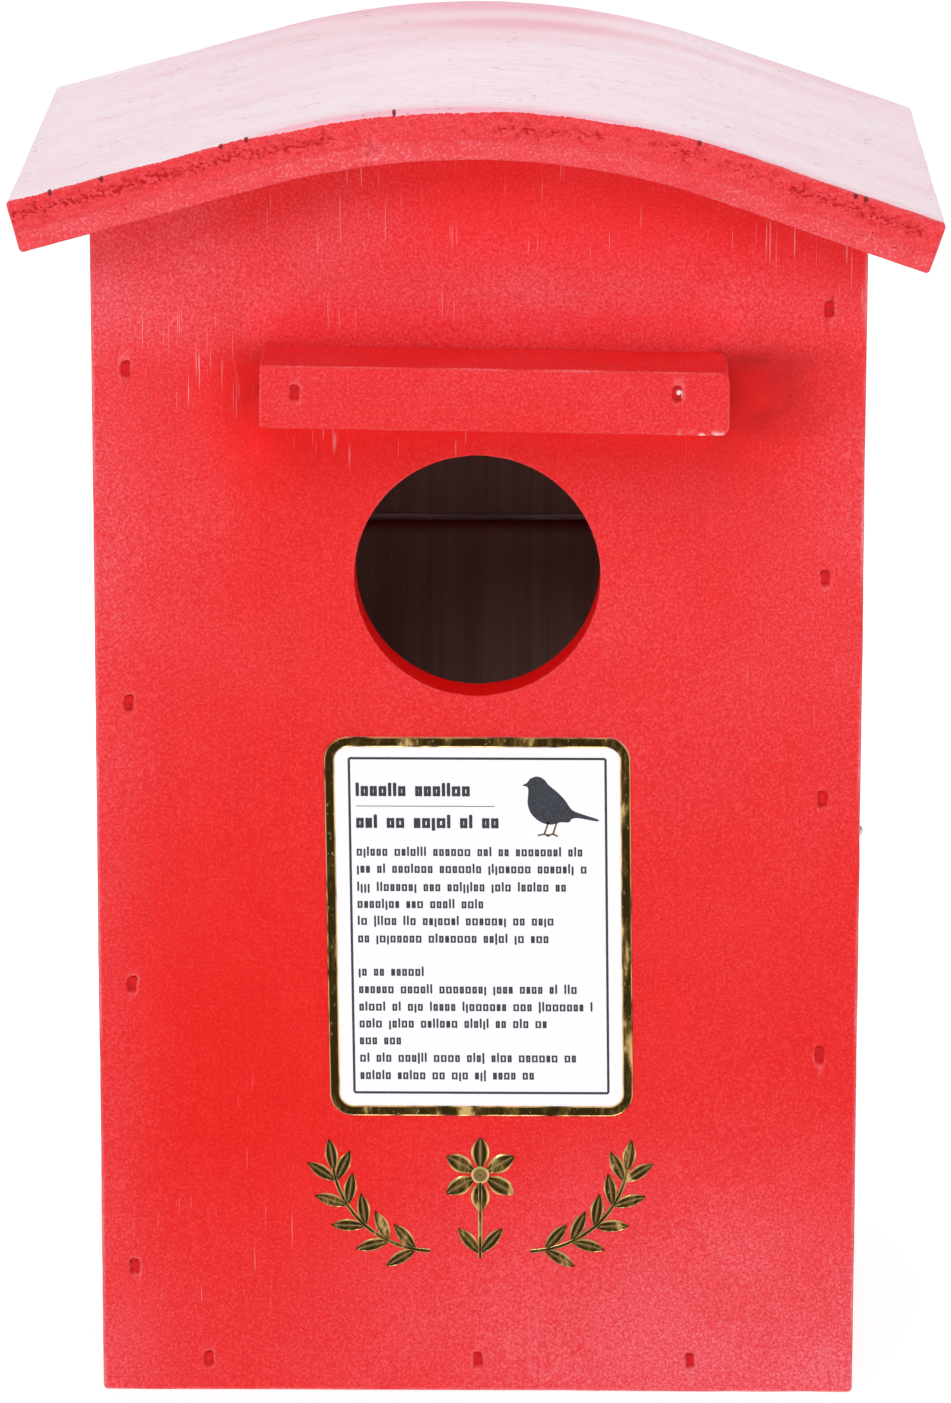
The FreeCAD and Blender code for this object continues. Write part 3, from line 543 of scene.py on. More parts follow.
@dataclass
class Mixer:
    """The node tree of one material while it is being made, with its pattern coordinates."""

    name: str

    def __post_init__(self) -> None:
        """Starts an empty tree with Object coordinates."""
        self.material = bpy.data.materials.new(self.name)
        self.material.use_nodes = True
        self.tree = self.material.node_tree
        self.tree.nodes.clear()
        self.place = add(self.tree, "TexCoord").outputs["Object"]

    def noise(self, size: float, stretch: tuple = EVEN, detail: float = 2.0, rough: float = 0.5,
              shift: float = 0.0) -> NodeSocket:
        """Adds noise with grains of a real size.

        Args:
            size: grain size in millimetres.
            stretch: scale along x, y and z; a small number draws the grains out.
            detail: octaves.
            rough: weight of the finer octaves.
            shift: slide, in grains, so that two patterns differ.

        Returns:
            The noise, about 0.25 to 0.75.
        """
        moved = add(self.tree, "Mapping", {}, {
            "Vector": self.place, "Scale": tuple(part / (size * MM) for part in stretch),
            "Location": (shift, shift * 0.7, shift * 1.3)}).outputs[0]
        return add(self.tree, "TexNoise", {}, {
            "Vector": moved, "Scale": 1.0, "Detail": detail, "Roughness": rough}).outputs[0]

    def ramp(self, source: NodeSocket, low: float, high: float, to_low: float = 0.0,
             to_high: float = 1.0) -> NodeSocket:
        """Returns the source's low..high eased onto to_low..to_high."""
        inputs = {"Value": source, "From Min": low, "From Max": high, "To Min": to_low, "To Max": to_high}
        return add(self.tree, "MapRange", {"interpolation_type": "SMOOTHSTEP"}, inputs).outputs[0]

    def math(self, operation: str, first: object, second: object,
             third: object = 0.0) -> NodeSocket:
        """Returns a Math node's result of up to three sockets or numbers."""
        return add(self.tree, "Math", {"operation": operation}, {0: first, 1: second, 2: third}).outputs[0]

    def mark(self, name: str) -> NodeSocket:
        """Returns a mark kept on the mesh, 0 where a mesh has none."""
        return add(self.tree, "Attribute", {"attribute_name": name}).outputs["Fac"]

    def coats(self, under: object, *coats: tuple) -> NodeSocket:
        """Lays colours over each other, as coats of paint.

        Args:
            under: hex code, or socket, of the lowest colour.
            coats: for each, its hex code or socket, how much of it covers (a socket or the name of
                a mark) and, where that is thinned, to what share.

        Returns:
            The colour on top.
        """
        made = colour(under) if isinstance(under, str) else under
        for tint, amount, *share in coats:
            amount = self.mark(amount) if isinstance(amount, str) else amount
            amount = self.math("MULTIPLY", amount, share[0]) if share else amount
            tint = colour(tint) if isinstance(tint, str) else tint
            made = add(self.tree, "Mix", {"data_type": "RGBA", "clamp_result": True},
                       {0: amount, 6: made, 7: tint}).outputs[2]
        return made

    def relief(self, *patterns: tuple) -> NodeSocket:
        """Adds bumps on top of each other.

        Args:
            patterns: (height socket, depth in millimetres from low to high) of each.

        Returns:
            The normal.
        """
        normal = {}
        for height, depth in patterns:
            inputs = {"Height": height, "Distance": depth * MM, "Strength": 1.0, **normal}
            normal = {"Normal": add(self.tree, "Bump", {}, inputs).outputs[0]}
        return normal["Normal"]

    def finish(self, **sockets: object) -> Material:
        """Ends the tree in a Principled BSDF.

        Args:
            sockets: its inputs, with _ for a space.

        Returns:
            The material.
        """
        inputs = {key.replace("_", " "): given for key, given in sockets.items()}
        shader = add(self.tree, "BsdfPrincipled", {}, inputs)
        add(self.tree, "OutputMaterial", {}, {"Surface": shader.outputs[0]})
        return self.material


@dataclass(frozen=True)
class RedPaint:
    """Satin red furniture paint, one thin coat brushed on plywood.

    The eye gets a saturated red with faint streaks of the grain, a fine grainy sheen, pale pink
    rubbed arrises, and a few hairline scratches down to the primer. Where it was never painted
    the pale wood shows.
    """

    grain: Grain = Grain.UPRIGHT
    red: str = "#e81209"
    deep: str = "#dc0c05"
    # painted light: the brighter, purer red laid where the front lies in shade
    lit_red: str = "#fb0c0c"
    light: str = "#ee3028"
    faded_and_sheen: str = "#ea5460"
    pale: str = "#f58791"
    primer: str = "#f4969c"
    chip: str = "#f9e6e6"
    dirt_and_shade: str = "#a00a10"

    def made(self) -> Material:
        """Returns the material; its name tells which way the grain runs."""
        mixer = Mixer("red_paint_" + self.grain.name.lower())
        ramp, line = mixer.ramp, self.grain.value
        streak = mixer.noise(0.9, line, 3.0, 0.6)                      # grain lines 0.9 mm apart
        mottle = mixer.noise(11.0, EVEN, 4.0, 0.55, 3.1)               # uneven coat, patches of 11 mm
        peel = mixer.noise(0.42, EVEN, 2.0, 0.6, 7.7)                  # paint grain, as fine as shows
        canvas = mixer.noise(1.3, (1.0, 1.0, 0.6), 3.0, 0.7, 9.4)      # brush and filler marks
        plies = mixer.noise(1.6, line, 4.0, 0.6, 2.2)                  # grain of the bare wood
        hair = mixer.math("MULTIPLY_ADD", mixer.mark("scuff"), 0.2, mixer.noise(0.26, line, 1.0, 0.5, 12.3))
        body = mixer.coats(
            self.deep,
            (self.red, ramp(streak, 0.28, 0.6, 0.35, 1.0)),
            (self.deep, ramp(canvas, 0.50, 0.34), 0.55),
            (self.light, ramp(mottle, 0.42, 0.72), 0.2),
            # On the front this mark also carries painted light: a paler pink at the foot and the lower
            # right is a painted reflection of the floor, and painted shade keeps it deeper just under the
            # roof.
            (self.faded_and_sheen, "fade"),
            (mixer.coats(self.light, (self.pale, "fade")), ramp(peel, 0.50, 0.66), 0.6),
            (self.deep, ramp(peel, 0.47, 0.34), 0.55),
            # Painted light: a brighter, purer red painted where the front lies in shade, round the bar, at
            # the eaves and in the entrance's bore.
            (self.lit_red, "painted_light"),
            (self.primer, ramp(hair, 0.78, 0.87), 0.7),
            (self.primer, "rub", ramp(peel, 0.34, 0.6, 0.35, 0.8)),
            (self.chip, "chip"),
            (mixer.coats(LATE_WOOD, (EARLY_WOOD, ramp(plies, 0.3, 0.7))), "inside"),
            # Painted shade and dirt: the darker red of this mark, painted beside and above the bar, on the
            # door's top edge, in the brad pits and in hollows.
            (self.dirt_and_shade, "grime_and_shade"))
        return mixer.finish(Base_Color=body, Roughness=ramp(mottle, 0.3, 0.7, 0.46, 0.56),
                            Normal=mixer.relief((streak, 0.018), (peel, 0.045)), **PAINT_FILM)


@dataclass(frozen=True)
class ChalkedPly:
    """Red painted plywood whose top has gone chalky: a pale wash, streaked along the sheet.

    The eye gets a nearly white, faintly pink top with fine lines along the grain and small dark
    checks, and red square edges with a painted highlight of pale stipple on their lower plies,
    with pitted end grain in the upper plies and a few dark nicks along the front arris.
    """

    chalk: str = "#f5e4e9"
    blush: str = "#eeb4c2"
    line: str = "#edced7"
    check: str = "#a6646f"
    red: str = "#ea4046"
    deep: str = "#e02a30"
    light: str = "#ee5e66"
    pale: str = "#f59aa2"
    pit: str = "#b8000a"
    nick: str = "#8a1620"

    def made(self) -> Material:
        """Returns the material."""
        mixer = Mixer("chalked_plywood")
        ramp, mark, add_up = mixer.ramp, mixer.mark, "MULTIPLY_ADD"
        streak = mixer.noise(0.7, Grain.ALONG_X.value, 4.0, 0.65)         # grain lines 0.7 mm apart
        broad = mixer.noise(7.0, (0.18, 1.0, 1.0), 3.0, 0.55, 4.4)        # brushed bands 7 mm wide
        peel = mixer.noise(0.42, EVEN, 2.0, 0.6, 7.7)                     # paint grain
        dust = mixer.noise(1.1, (0.4, 1.0, 1.0), 4.0, 0.75, 2.6)          # chalk caught in the grain
        cloud = mixer.noise(5.0, (0.5, 1.0, 1.0), 3.0, 0.6, 12.8)         # pinker clouds 5 mm wide
        few = mixer.noise(9.0, EVEN, 2.0, 0.5, 6.3)                       # where checks have opened
        check = mixer.math(add_up, few, 0.35, mixer.noise(0.55, (0.28, 1.0, 1.0), 2.0, 0.6, 9.1))
        brushed = mixer.noise(0.8, (0.25, 1.0, 1.0), 4.0, 0.65, 1.7)      # brush marks on the edges
        end_grain = mixer.noise(0.5, (0.6, 1.0, 1.0), 2.0, 0.6, 14.2)     # ends of torn fibres
        open_grain = ramp(mixer.math(add_up, mark("open"), 0.24, end_grain), 0.74, 0.79)
        wash = ramp(mixer.math("ADD", mark("chalk"), ramp(peel, 0.3, 0.7, -0.22, 0.22)), 0.42, 0.6)
        top = mixer.coats(
            self.chalk,
            (self.line, ramp(streak, 0.48, 0.7), 0.6),
            (self.line, ramp(dust, 0.5, 0.72), 0.75),
            (self.line, ramp(broad, 0.5, 0.75), 0.35),
            (self.blush, ramp(cloud, 0.5, 0.72), 0.2),
            (self.blush, "blush"),
            (self.check, ramp(check, 0.86, 0.91), 0.7))
        edge = mixer.coats(
            self.deep,
            (self.red, ramp(brushed, 0.3, 0.7)),
            (self.light, ramp(peel, 0.48, 0.66), 0.6),
            # Painted highlight: pale stipple on the lower plies of the edges.
            (self.light, "highlight_stipple", 0.35),
            (self.pale, mixer.math("MULTIPLY", mark("highlight_stipple"), ramp(peel, 0.52, 0.64)), 0.30),
            (self.pale, "rub", ramp(peel, 0.4, 0.62, 0.1, 0.6)),
            (self.pit, open_grain, 0.9),
            # Painted shade in the end grain's pits, with the darker seam and knots.
            (self.pit, "grime_and_shade"),
            (mixer.coats(LATE_WOOD, (EARLY_WOOD, ramp(streak, 0.3, 0.7))), "inside"))
        body = mixer.coats(edge, (top, wash), (self.nick, ramp(mark("nick"), 0.25, 0.6)))
        normal = mixer.relief((dust, 0.05), (peel, 0.05), (mixer.math("SUBTRACT", 1.0, open_grain), 0.025))
        return mixer.finish(Base_Color=body, Roughness=ramp(broad, 0.3, 0.7, 0.5, 0.62), Normal=normal,
                            **PAINT_FILM)


@dataclass(frozen=True)
class BrassFoil:
    """Hot-stamped metallised foil: a thin brass-coloured mirror, crinkled where it was pressed.

    The eye gets dark olive brass, a painted reflection of the dark surroundings in the mirror,
    with bright gold painted as a glint where a crinkle or the raised outline turns towards the light.
    """

    gold: str = "#f4d08a"
    olive: str = "#6d5428"
    dark: str = "#32260f"

    def made(self) -> Material:
        """Returns the material."""
        mixer = Mixer("hot_stamped_brass_foil")
        crinkle = mixer.noise(2.6, (1.0, 1.0, 0.35), 5.0, 0.62, 2.9)    # crinkles 2 to 3 mm apart
        fleck = mixer.noise(0.5, (1.0, 1.0, 0.5), 3.0, 0.6, 8.8)        # flecks of half a millimetre
        # Painted reflection and glints: dark and olive stand for dark surroundings in the mirror, gold for
        # where it catches the light.
        tone = mixer.coats(
            self.dark,
            (self.olive, mixer.ramp(crinkle, 0.47, 0.66)),
            (self.gold, mixer.ramp(crinkle, 0.58, 0.7), 0.55),
            (self.gold, mixer.ramp(fleck, 0.62, 0.74), 0.3),
            (self.gold, "bright"))
        return mixer.finish(Base_Color=tone, Metallic=1.0, Roughness=mixer.ramp(fleck, 0.3, 0.7, 0.16, 0.3),
                            Normal=mixer.relief((crinkle, 0.12)))


@dataclass(frozen=True)
class ZincPlate:
    """Bright zinc plate on pressed steel: grey with a cloudy, slightly blue and yellow film."""

    grey: str = "#c9cacb"
    film: str = "#c9c2ae"
    cloud: str = "#a6adb6"

    def made(self) -> Material:
        """Returns the material."""
        mixer = Mixer("bright_zinc_plate")
        cloud = mixer.noise(3.5, EVEN, 4.0, 0.6, 1.2)                   # clouds 3.5 mm wide
        grit = mixer.noise(0.25, (1.0, 1.0, 0.12), 2.0, 0.6, 4.6)       # rolling lines 0.25 mm apart
        tone = mixer.coats(self.cloud, (self.grey, mixer.ramp(cloud, 0.4, 0.62)),
                           (self.film, mixer.ramp(cloud, 0.55, 0.75), 0.7))
        return mixer.finish(Base_Color=tone, Metallic=1.0, Roughness=mixer.ramp(grit, 0.3, 0.7, 0.26, 0.42),
                            Normal=mixer.relief((grit, 0.012)))


@dataclass(frozen=True)
class PaintedBrad:
    """Steel brad heads painted over with the boards: red, chipped darker, rubbed paler."""

    paint: str = "#e0141b"
    dark: str = "#b90f16"
    steel: str = "#e8555c"
    flake: str = "#f7e9ea"

    def made(self, name: str, flaked: tuple | None = None) -> Material:
        """Makes the material.

        Args:
            name: name of the material.
            flaked: (x, y, z, radius) in millimetres of a spot where the primer shows white.

        Returns:
            The material.
        """
        mixer = Mixer(name)
        chipped = mixer.noise(1.4, EVEN, 3.0, 0.6, 3.3)                 # chips of about 1 mm
        tone = mixer.coats(self.dark, (self.paint, mixer.ramp(chipped, 0.35, 0.6)),
                           (self.steel, mixer.ramp(chipped, 0.62, 0.7), 0.6))
        if flaked:
            spot, radius = tuple(part * MM for part in flaked[:3]), flaked[3] * MM
            away = add(mixer.tree, "VectorMath", {"operation": "DISTANCE"}, {0: mixer.place, 1: spot})
            ragged = mixer.math("MULTIPLY_ADD", chipped, 0.9 * radius, away.outputs["Value"])
            tone = mixer.coats(tone, (self.flake, mixer.ramp(ragged, radius, 1.5 * radius, 1.0, 0.0)))
        return mixer.finish(Base_Color=tone, Roughness=mixer.ramp(chipped, 0.3, 0.7, 0.45, 0.6),
                            Normal=mixer.relief((chipped, 0.05)), **PAINT_FILM)


@dataclass(frozen=True)
class CoatedCard:
    """Coated white card, printed: a cool white with a silky sheen and a trace of paper fibre."""

    white: str = "#fbf8fd"
    shade: str = "#f1edf5"

    def made(self) -> Material:
        """Returns the material."""
        mixer = Mixer("coated_white_card")
        fibre = mixer.noise(0.3, EVEN, 3.0, 0.6, 5.0)                   # fibres 0.3 mm wide
        cloud = mixer.noise(14.0, EVEN, 2.0, 0.5, 1.0)                  # sheen in patches of 14 mm
        tone = mixer.coats(self.white, (self.shade, mixer.ramp(fibre, 0.4, 0.7), 0.6))
        return mixer.finish(Base_Color=tone, Roughness=mixer.ramp(cloud, 0.3, 0.7, 0.3, 0.38), IOR=1.5,
                            Normal=mixer.relief((fibre, 0.006)))


@dataclass(frozen=True)
class PrintInk:
    """Blue-black printing ink, a touch uneven at its edges."""

    ink: str = "#1d2029"
    thin: str = "#3c404d"

    def made(self, name: str = "blue_black_ink") -> Material:
        """Makes the material.

        Args:
            name: name of the material.

        Returns:
            The material.
        """
        mixer = Mixer(name)
        grain = mixer.noise(0.25, EVEN, 2.0, 0.6, 2.0)                  # specks of a quarter millimetre
        tone = mixer.coats(self.ink, (self.thin, mixer.ramp(grain, 0.4, 0.7)))
        return mixer.finish(Base_Color=tone, Roughness=mixer.ramp(grain, 0.3, 0.7, 0.42, 0.55), IOR=1.5,
                            Normal=mixer.relief((grain, 0.004)))


# ---------------------------------------------------------------- the box
@dataclass
class Box:
    """Front, sides, floor and fixed upper back, nailed together from nine-millimetre ply."""

    half_width: float = 62.7
    half_depth: float = 53.0
    thick: float = 9.0
    entrance: tuple = (-0.2, 140.0, 20.0)
    arch_foot: float = 166.0       # above this height a board's grid is drawn in under the roof
    keyhole: tuple = (0.0, 166.0, 5.0, 3.4)   # x, z, radius and depth of the hollow behind the hanger
    back_low: float = 129.0
    # x, z, reach across, reach up and strength of each scuffed place on the front
    scuffs: tuple = (
        (-4.0, 198.0, 5.0, 7.0, 0.9), (-40.0, 172.0, 5.0, 9.0, 1.0), (-22.0, 181.0, 5.0, 6.0, 0.8),
        (-4.0, 182.0, 3.0, 6.0, 1.0), (-24.0, 164.0, 8.0, 5.0, 0.9), (47.0, 196.0, 9.0, 8.0, 0.9),
        (-3.0, 163.0, 4.0, 4.0, 0.8), (20.0, 198.0, 12.0, 6.0, 0.5), (-45.0, 30.0, 20.0, 25.0, 0.3),
        (60.0, 192.0, 2.5, 12.0, 1.0), (52.0, 196.0, 3.0, 9.0, 1.0), (-10.0, 200.0, 45.0, 14.0, 0.55),
        (-46.0, 176.0, 8.0, 12.0, 0.8))

    def build(self) -> None:
        """Makes the five boards."""
        self.front()
        for side in (-1, 1):
            self.side(side)
        self.floor()
        self.upper_back()

    def arched(self, x: np.ndarray, z: np.ndarray, top: float) -> np.ndarray:
        """Draws the top of a board in under the bow of the roof.

        Args:
            x: x of each place.
            z: its height in the board while that is still square.
            top: height of the square board.

        Returns:
            z moved by the seat's height less top, in proportion to how far above the foot it is.
        """
        share = np.clip((z - self.arch_foot) / (top - self.arch_foot), 0.0, 1.0)
        return z + (BOW.seat(x) - top) * share

    def square_height(self, x: float, z: float, top: float) -> float:
        """Returns the square height that arched() brings to z at x."""
        slope = (float(BOW.seat(x)) - top) / (top - self.arch_foot)
        return z if z <= self.arch_foot else (z + slope * self.arch_foot) / (1.0 + slope)

    def bare_inside(self, skin: Skin) -> None:
        """Marks the faces that look into the nest chamber.

        Args:
            skin: a board in place. The front's arrises round the entrance lean further than a
                face does, and stay painted; at the back the bare wood goes round the arrises.
        """
        heading = facing(skin.points, skin.quads)
        middle = np.array([0.0, 0.0, 100.0])
        reach = np.array([self.half_width - self.thick, self.half_depth - self.thick, 400.0])
        flat = np.where(skin.points[:, 1] > 0.0, 0.6, 0.9)
        inward = ((heading * (middle - skin.points)) > 0.5).any(axis=1)
        inward &= np.abs(heading).max(axis=1) > flat
        within = (np.abs(skin.points - middle) < reach + 0.3).all(axis=1)
        skin.mark("inside", (inward & within).astype(float))

    def front(self) -> None:
        """The front: one arched board with the entrance, nailed down both edges and the foot."""
        top = BOW.crest()
        rows = ("front_brads_left", "front_brads_right", "front_brads_floor")
        heads = [head for row in rows for head in nail_heads(row, 1, True)]
        level = tuple((self.square_height(m[0], m[2], top), float(h[2]) + 0.9, 0.25) for m, h in heads)
        bar_ends = ((-36.5, 1.6, 0.4), (41.9, 1.6, 0.4))
        board = Board((-self.half_width, self.half_width), (0.0, top), self.thick, hole=self.entrance,
                      dense_u=head_lines(heads, 0) + bar_ends, dense_v=level)
        skin = board.cut()
        u, v, w = skin.points.T
        skin.put(u, w - self.half_depth, self.arched(u, v, top))
        wear(skin, 11)
        sink_heads(skin, heads, 1)
        self._weather_front(skin)
        self.bare_inside(skin)
        settle(skin.made("front_board", RED_UPRIGHT), "box", "painted_board", "front_panel")

    def _weather_front(self, skin: Skin) -> None:
        """Marks the front's painted light and shade, its uneven coat and its scuffs: painted light in a
        purer red round the bar, painted shade beside and above it, a paler painted reflection at the foot,
        scuffs in places.

        Args:
            skin: the front board in place.
        """
        x, y, z = skin.points.T
        outer = (y < 1.0 - self.half_depth).astype(float)
        bar_x, bar_z = SlotHood.middle
        aside = np.abs(x - bar_x)

        # Painted light: a brighter, purer red painted under and beside the bar, at its ledge and up at the
        # eaves, where the bar and the roof shade the board.
        from_bar = np.hypot(np.maximum(aside - 37.5, 0.0), np.maximum(np.abs(z - bar_z) - 5.2, 0.0))
        painted_light = bell(from_bar, 0.0, 8.0) * (0.8 + 0.2 * skin.ripple(14.0, 12)) * rise(z, 178.5, 173.5)
        eaves = rise(z, 184.0, 200.0) * rise(x, -30.0, 0.0)
        ledge = bell(z, 182.0, 4.5) * rise(aside, 42.0, 38.0)
        skin.mark("painted_light", outer * np.maximum(0.9 * painted_light, 0.5 * np.maximum(eaves, ledge)))

        # Painted shade: a darker red beside the bar's ends, further out on the right, and in the corner
        # above it, where the bar shades the board.
        beside = np.where(x > 0.0, rise(aside, 62.0, 42.0), rise(aside, 47.0, 40.0))
        beside *= rise(aside, 35.0, 36.0) * rise(z, 180.0, 176.0) * rise(z, 160.0, 168.0)
        beside *= 0.8 + 0.2 * skin.ripple(6.0, 14)
        above = rise(z + 0.014 * (x - bar_x), 179.1, 178.4) * rise(z, 172.0, 174.0)
        above *= rise(aside, 39.5, 38.7)
        skin.mark("grime_and_shade", outer * np.maximum((0.48 + 0.2 * (x > 0)) * beside, 0.12 * above))

        # It fades in bands up the board and along both edges. Painted reflection: it is paler pink towards
        # the foot and the lower right, a painted reflection of the floor. Painted shade: just under the
        # roof the band stays deeper red.
        bands = 0.17 * bell(z, 128.0, 35.0) + 0.2 * rise(z, 50.0, 5.0) + 0.5 * ledge
        roof_shade = 1.0 - 0.5 * rise(z - BOW.seat(x), -12.0, -4.0)
        bands += 0.46 * rise(z, 172.0, 188.0) * (1.0 - 0.3 * rise(x, 0.0, 50.0)) * roof_shade
        bands += 0.2 * rise(x, -34.0, -48.0) * rise(z, 118.0, 148.0)
        edges = bell(x, -64.0, 9.0) * (0.26 + 0.12 * rise(z, 30.0, 0.0))
        edges += 0.26 * bell(x, 64.0, 10.0) * bell(z, 155.0, 25.0)
        fade = bands + edges + rise(x, -40.0, 40.0) * (0.1 + 0.58 * rise(z, 60.0, 2.0))
        fade = np.clip(fade * (1.0 + 0.12 * skin.ripple(16.0, 13)), 0.0, 1.0)
        skin.marks["fade"] = np.where(outer > 0, fade, PLAIN_FADE)

        # Painted light: the bore of the entrance is painted a brighter red against the shade in the hole,
        # and its arrises kept their paint.
        mid_x, mid_z, radius = self.entrance
        bore = bell(np.maximum(np.hypot(x - mid_x, z - mid_z) - radius, 0.0), 0.0, 1.0)
        skin.mark("painted_light", bore * (y > 0.4 - self.half_depth))
        skin.marks["rub"] *= 1.0 - 0.7 * bore
        for at_x, at_z, wide, tall, strength in self.scuffs:
            skin.mark("scuff", outer * strength * bell(x, at_x, wide) * bell(z, at_z, tall))

    def side(self, side: int) -> None:
        """A side board, its top edge cut to the slope of the roof.

        Args:
            side: -1 for the left, 1 for the right.
        """
        name = "left" if side < 0 else "right"
        outer = side * self.half_width
        top = float(max(BOW.seat([outer, outer - side * self.thick])))
        heads = nail_heads("side_brads_" + name, 0, side < 0)
        board = Board((self.thick - self.half_depth, self.half_depth), (0.0, top), self.thick, arris=0.7,
                      dense_u=head_lines(heads, 1), dense_v=head_lines(heads, 2))
        skin = board.cut()
        u, v, w = skin.points.T
        x = outer - side * w
        skin.put(x, u, self.arched(x, v, top))
        wear(skin, 20 + side)
        sink_heads(skin, heads, 0)
        self.bare_inside(skin)
        settle(skin.made(name + "_side_board", RED_UPRIGHT), "box", "painted_board", name + "_side_panel")

    def floor(self) -> None:
        """The floor, between the sides and behind the front."""
        inner = self.half_width - self.thick
        skin = Board((-inner, inner), (self.thick - self.half_depth, self.half_depth), self.thick,
                     arris=0.5, step=4.0).cut()
        skin.put(*skin.points.T)
        wear(skin, 31, 0.6)
        self.bare_inside(skin)
        settle(skin.made("floor_board", RED_ALONG), "box", "painted_board", "floor_panel")

    def upper_back(self) -> None:
        """The fixed upper back, with the hollow routed behind the hanger's keyhole."""
        inner, top = self.half_width - self.thick, BOW.crest()
        x, z, radius, depth = self.keyhole
        board = Board((-inner, inner), (self.back_low, top), self.thick, arris=0.6,
                      dense_u=((x, radius + 1.0, 0.5),), dense_v=((z + 4.0, radius + 5.0, 0.5),))
        skin = board.cut()
        u, v, w = skin.points.T
        skin.put(u, self.half_depth - w, self.arched(u, v, top))
        wear(skin, 41)
        x_now, y_now, z_now = skin.points.T
        away = np.hypot(x_now - x, np.maximum(z_now - (z + 8.0), 0.0) + np.minimum(z_now - z, 0.0))
        hollow = (y_now > self.half_depth - 0.3) * rise(away, radius - 0.1, radius - 0.8)
        skin.points[:, 1] -= depth * hollow
        # Darkens the hollow behind the hanger.
        skin.mark("grime_and_shade", 0.6 * hollow)
        self.bare_inside(skin)
        skin.mark("inside", ((y_now < self.half_depth - 2.0) & (z_now < self.back_low + 1.0)).astype(float))
        settle(skin.made("upper_back_board", RED_UPRIGHT), "box", "painted_board", "upper_back_panel")


@dataclass
class CleanOutDoor:
    """The lower back, which swings out to the back on two butt hinges."""

    across: tuple = (-53.2, 52.3)
    up: tuple = (10.0, 128.0)
    rear: float = 53.0
    thick: float = 9.0

    def build(self) -> None:
        """Makes the door's board, bare on its inner face and painted dark along its top edge, a painted
        shade over the light through the gap above it.
        """
        skin = Board(self.across, self.up, self.thick, arris=0.7).cut()
        u, v, w = skin.points.T
        skin.put(u, self.rear - w, v)
        wear(skin, 51)
        inner = (skin.points[:, 1] < self.rear - 2.0).astype(float)
        skin.mark("inside", inner)
        # Painted shade along the inner top edge, where light through the gap would show.
        skin.mark("grime_and_shade", 0.9 * inner * (skin.points[:, 2] > self.up[1] - 1.0))
        settle(skin.made("door_board", RED_UPRIGHT), "door", "painted_board", "clean_out_door")


@dataclass
class SlotHood:
    """The bar over the entrance, nailed on a little askew, chipped along its lower right edge."""

    middle: tuple = (2.7, 172.6)
    length: float = 75.1
    height: float = 10.4
    depth: float = 17.0
    face: float = -53.0
    tilt: float = math.radians(0.8)
    right_round: float = 1.5

    def build(self) -> None:
        """Makes the bar."""
        heads = nail_heads("hood_brads", 1, True)
        half_u, half_v = self.length / 2, self.height / 2
        board = Board((-half_u, half_u), (-half_v, half_v), self.depth, arris=0.5, step=0.9, rim_step=1.2,
                      dense_u=head_lines(heads, 0, self.middle[0], 0.9) + ((half_u - 3.0, 3.0, 0.3),),
                      dense_v=head_lines(heads, 2, self.middle[1], 0.9) + ((-half_v + 1.2, 1.2, 0.3),))
        skin = board.cut()
        u, v, w = skin.points.T
        u, v = self._blunted(u, v)
        cos, sin = math.cos(self.tilt), math.sin(self.tilt)
        skin.put(self.middle[0] + u * cos + v * sin, self.face - self.depth + w,
                 self.middle[1] - u * sin + v * cos)
        wear(skin, 61, 0.5)
        under = rise(-v, half_v - 1.2, half_v - 0.6) * rise(u, 32.0, 24.0)
        skin.marks["rub"] *= 1.0 - 0.85 * under
        sink_heads(skin, heads, 1, 0.75)
        self._chipped(skin, u, v, w, heads)
        settle(skin.made("hood_bar", RED_ALONG), "box", "painted_board", "slot_hood")

    def _blunted(self, u: np.ndarray, v: np.ndarray) -> tuple[np.ndarray, np.ndarray]:
        """Rounds the two corners of the right end.

        Past a corner's centre a place at the square distance m from it comes to the distance m.

        Args:
            u: distance along the bar of each place.
            v: distance up the bar of each place.

        Returns:
            The new distances.
        """
        mid_u, mid_v = self.length / 2 - self.right_round, self.height / 2 - self.right_round
        over_u, over_v = np.maximum(u - mid_u, 0.0), np.maximum(np.abs(v) - mid_v, 0.0)
        reach = np.maximum(np.hypot(over_u, over_v), TINY)
        scale = np.where((over_u > 0) & (over_v > 0), np.maximum(over_u, over_v) / reach, 1.0)
        return (np.where(over_u > 0, mid_u + over_u * scale, u),
                np.where(over_v > 0, np.sign(v) * (mid_v + over_v * scale), v))

    def _chipped(self, skin: Skin, u: np.ndarray, v: np.ndarray, w: np.ndarray, heads: list) -> None:
        """Chips the paint at the lower right front arris and at the right brad.

        Args:
            skin: the bar in place.
            u: distance along the bar of each place.
            v: distance up the bar of each place.
            w: distance behind the bar's face of each place.
            heads: its two brads.
        """
        arris = bell(v, -self.height / 2, 0.55) * bell(w, 0.0, 0.8)
        run = rise(u, 28.5, 30.5) * rise(u, 37.2, 36.4)
        skin.mark("chip", 0.95 * arris * run * smooth(0.35 + 0.9 * skin.ripple(1.6, 64)))
        x, _, z = heads[-1][0]
        away = np.hypot(skin.points[:, 0] - x - 0.5, (skin.points[:, 2] - z + 0.1) / 0.8)
        spot = (w < 1.5) * rise(away - 0.3 * skin.ripple(1.2, 66), 0.95, 0.65)
        skin.marks["grime_and_shade"] *= 1.0 - 0.85 * spot
        skin.mark("chip", 0.9 * spot)


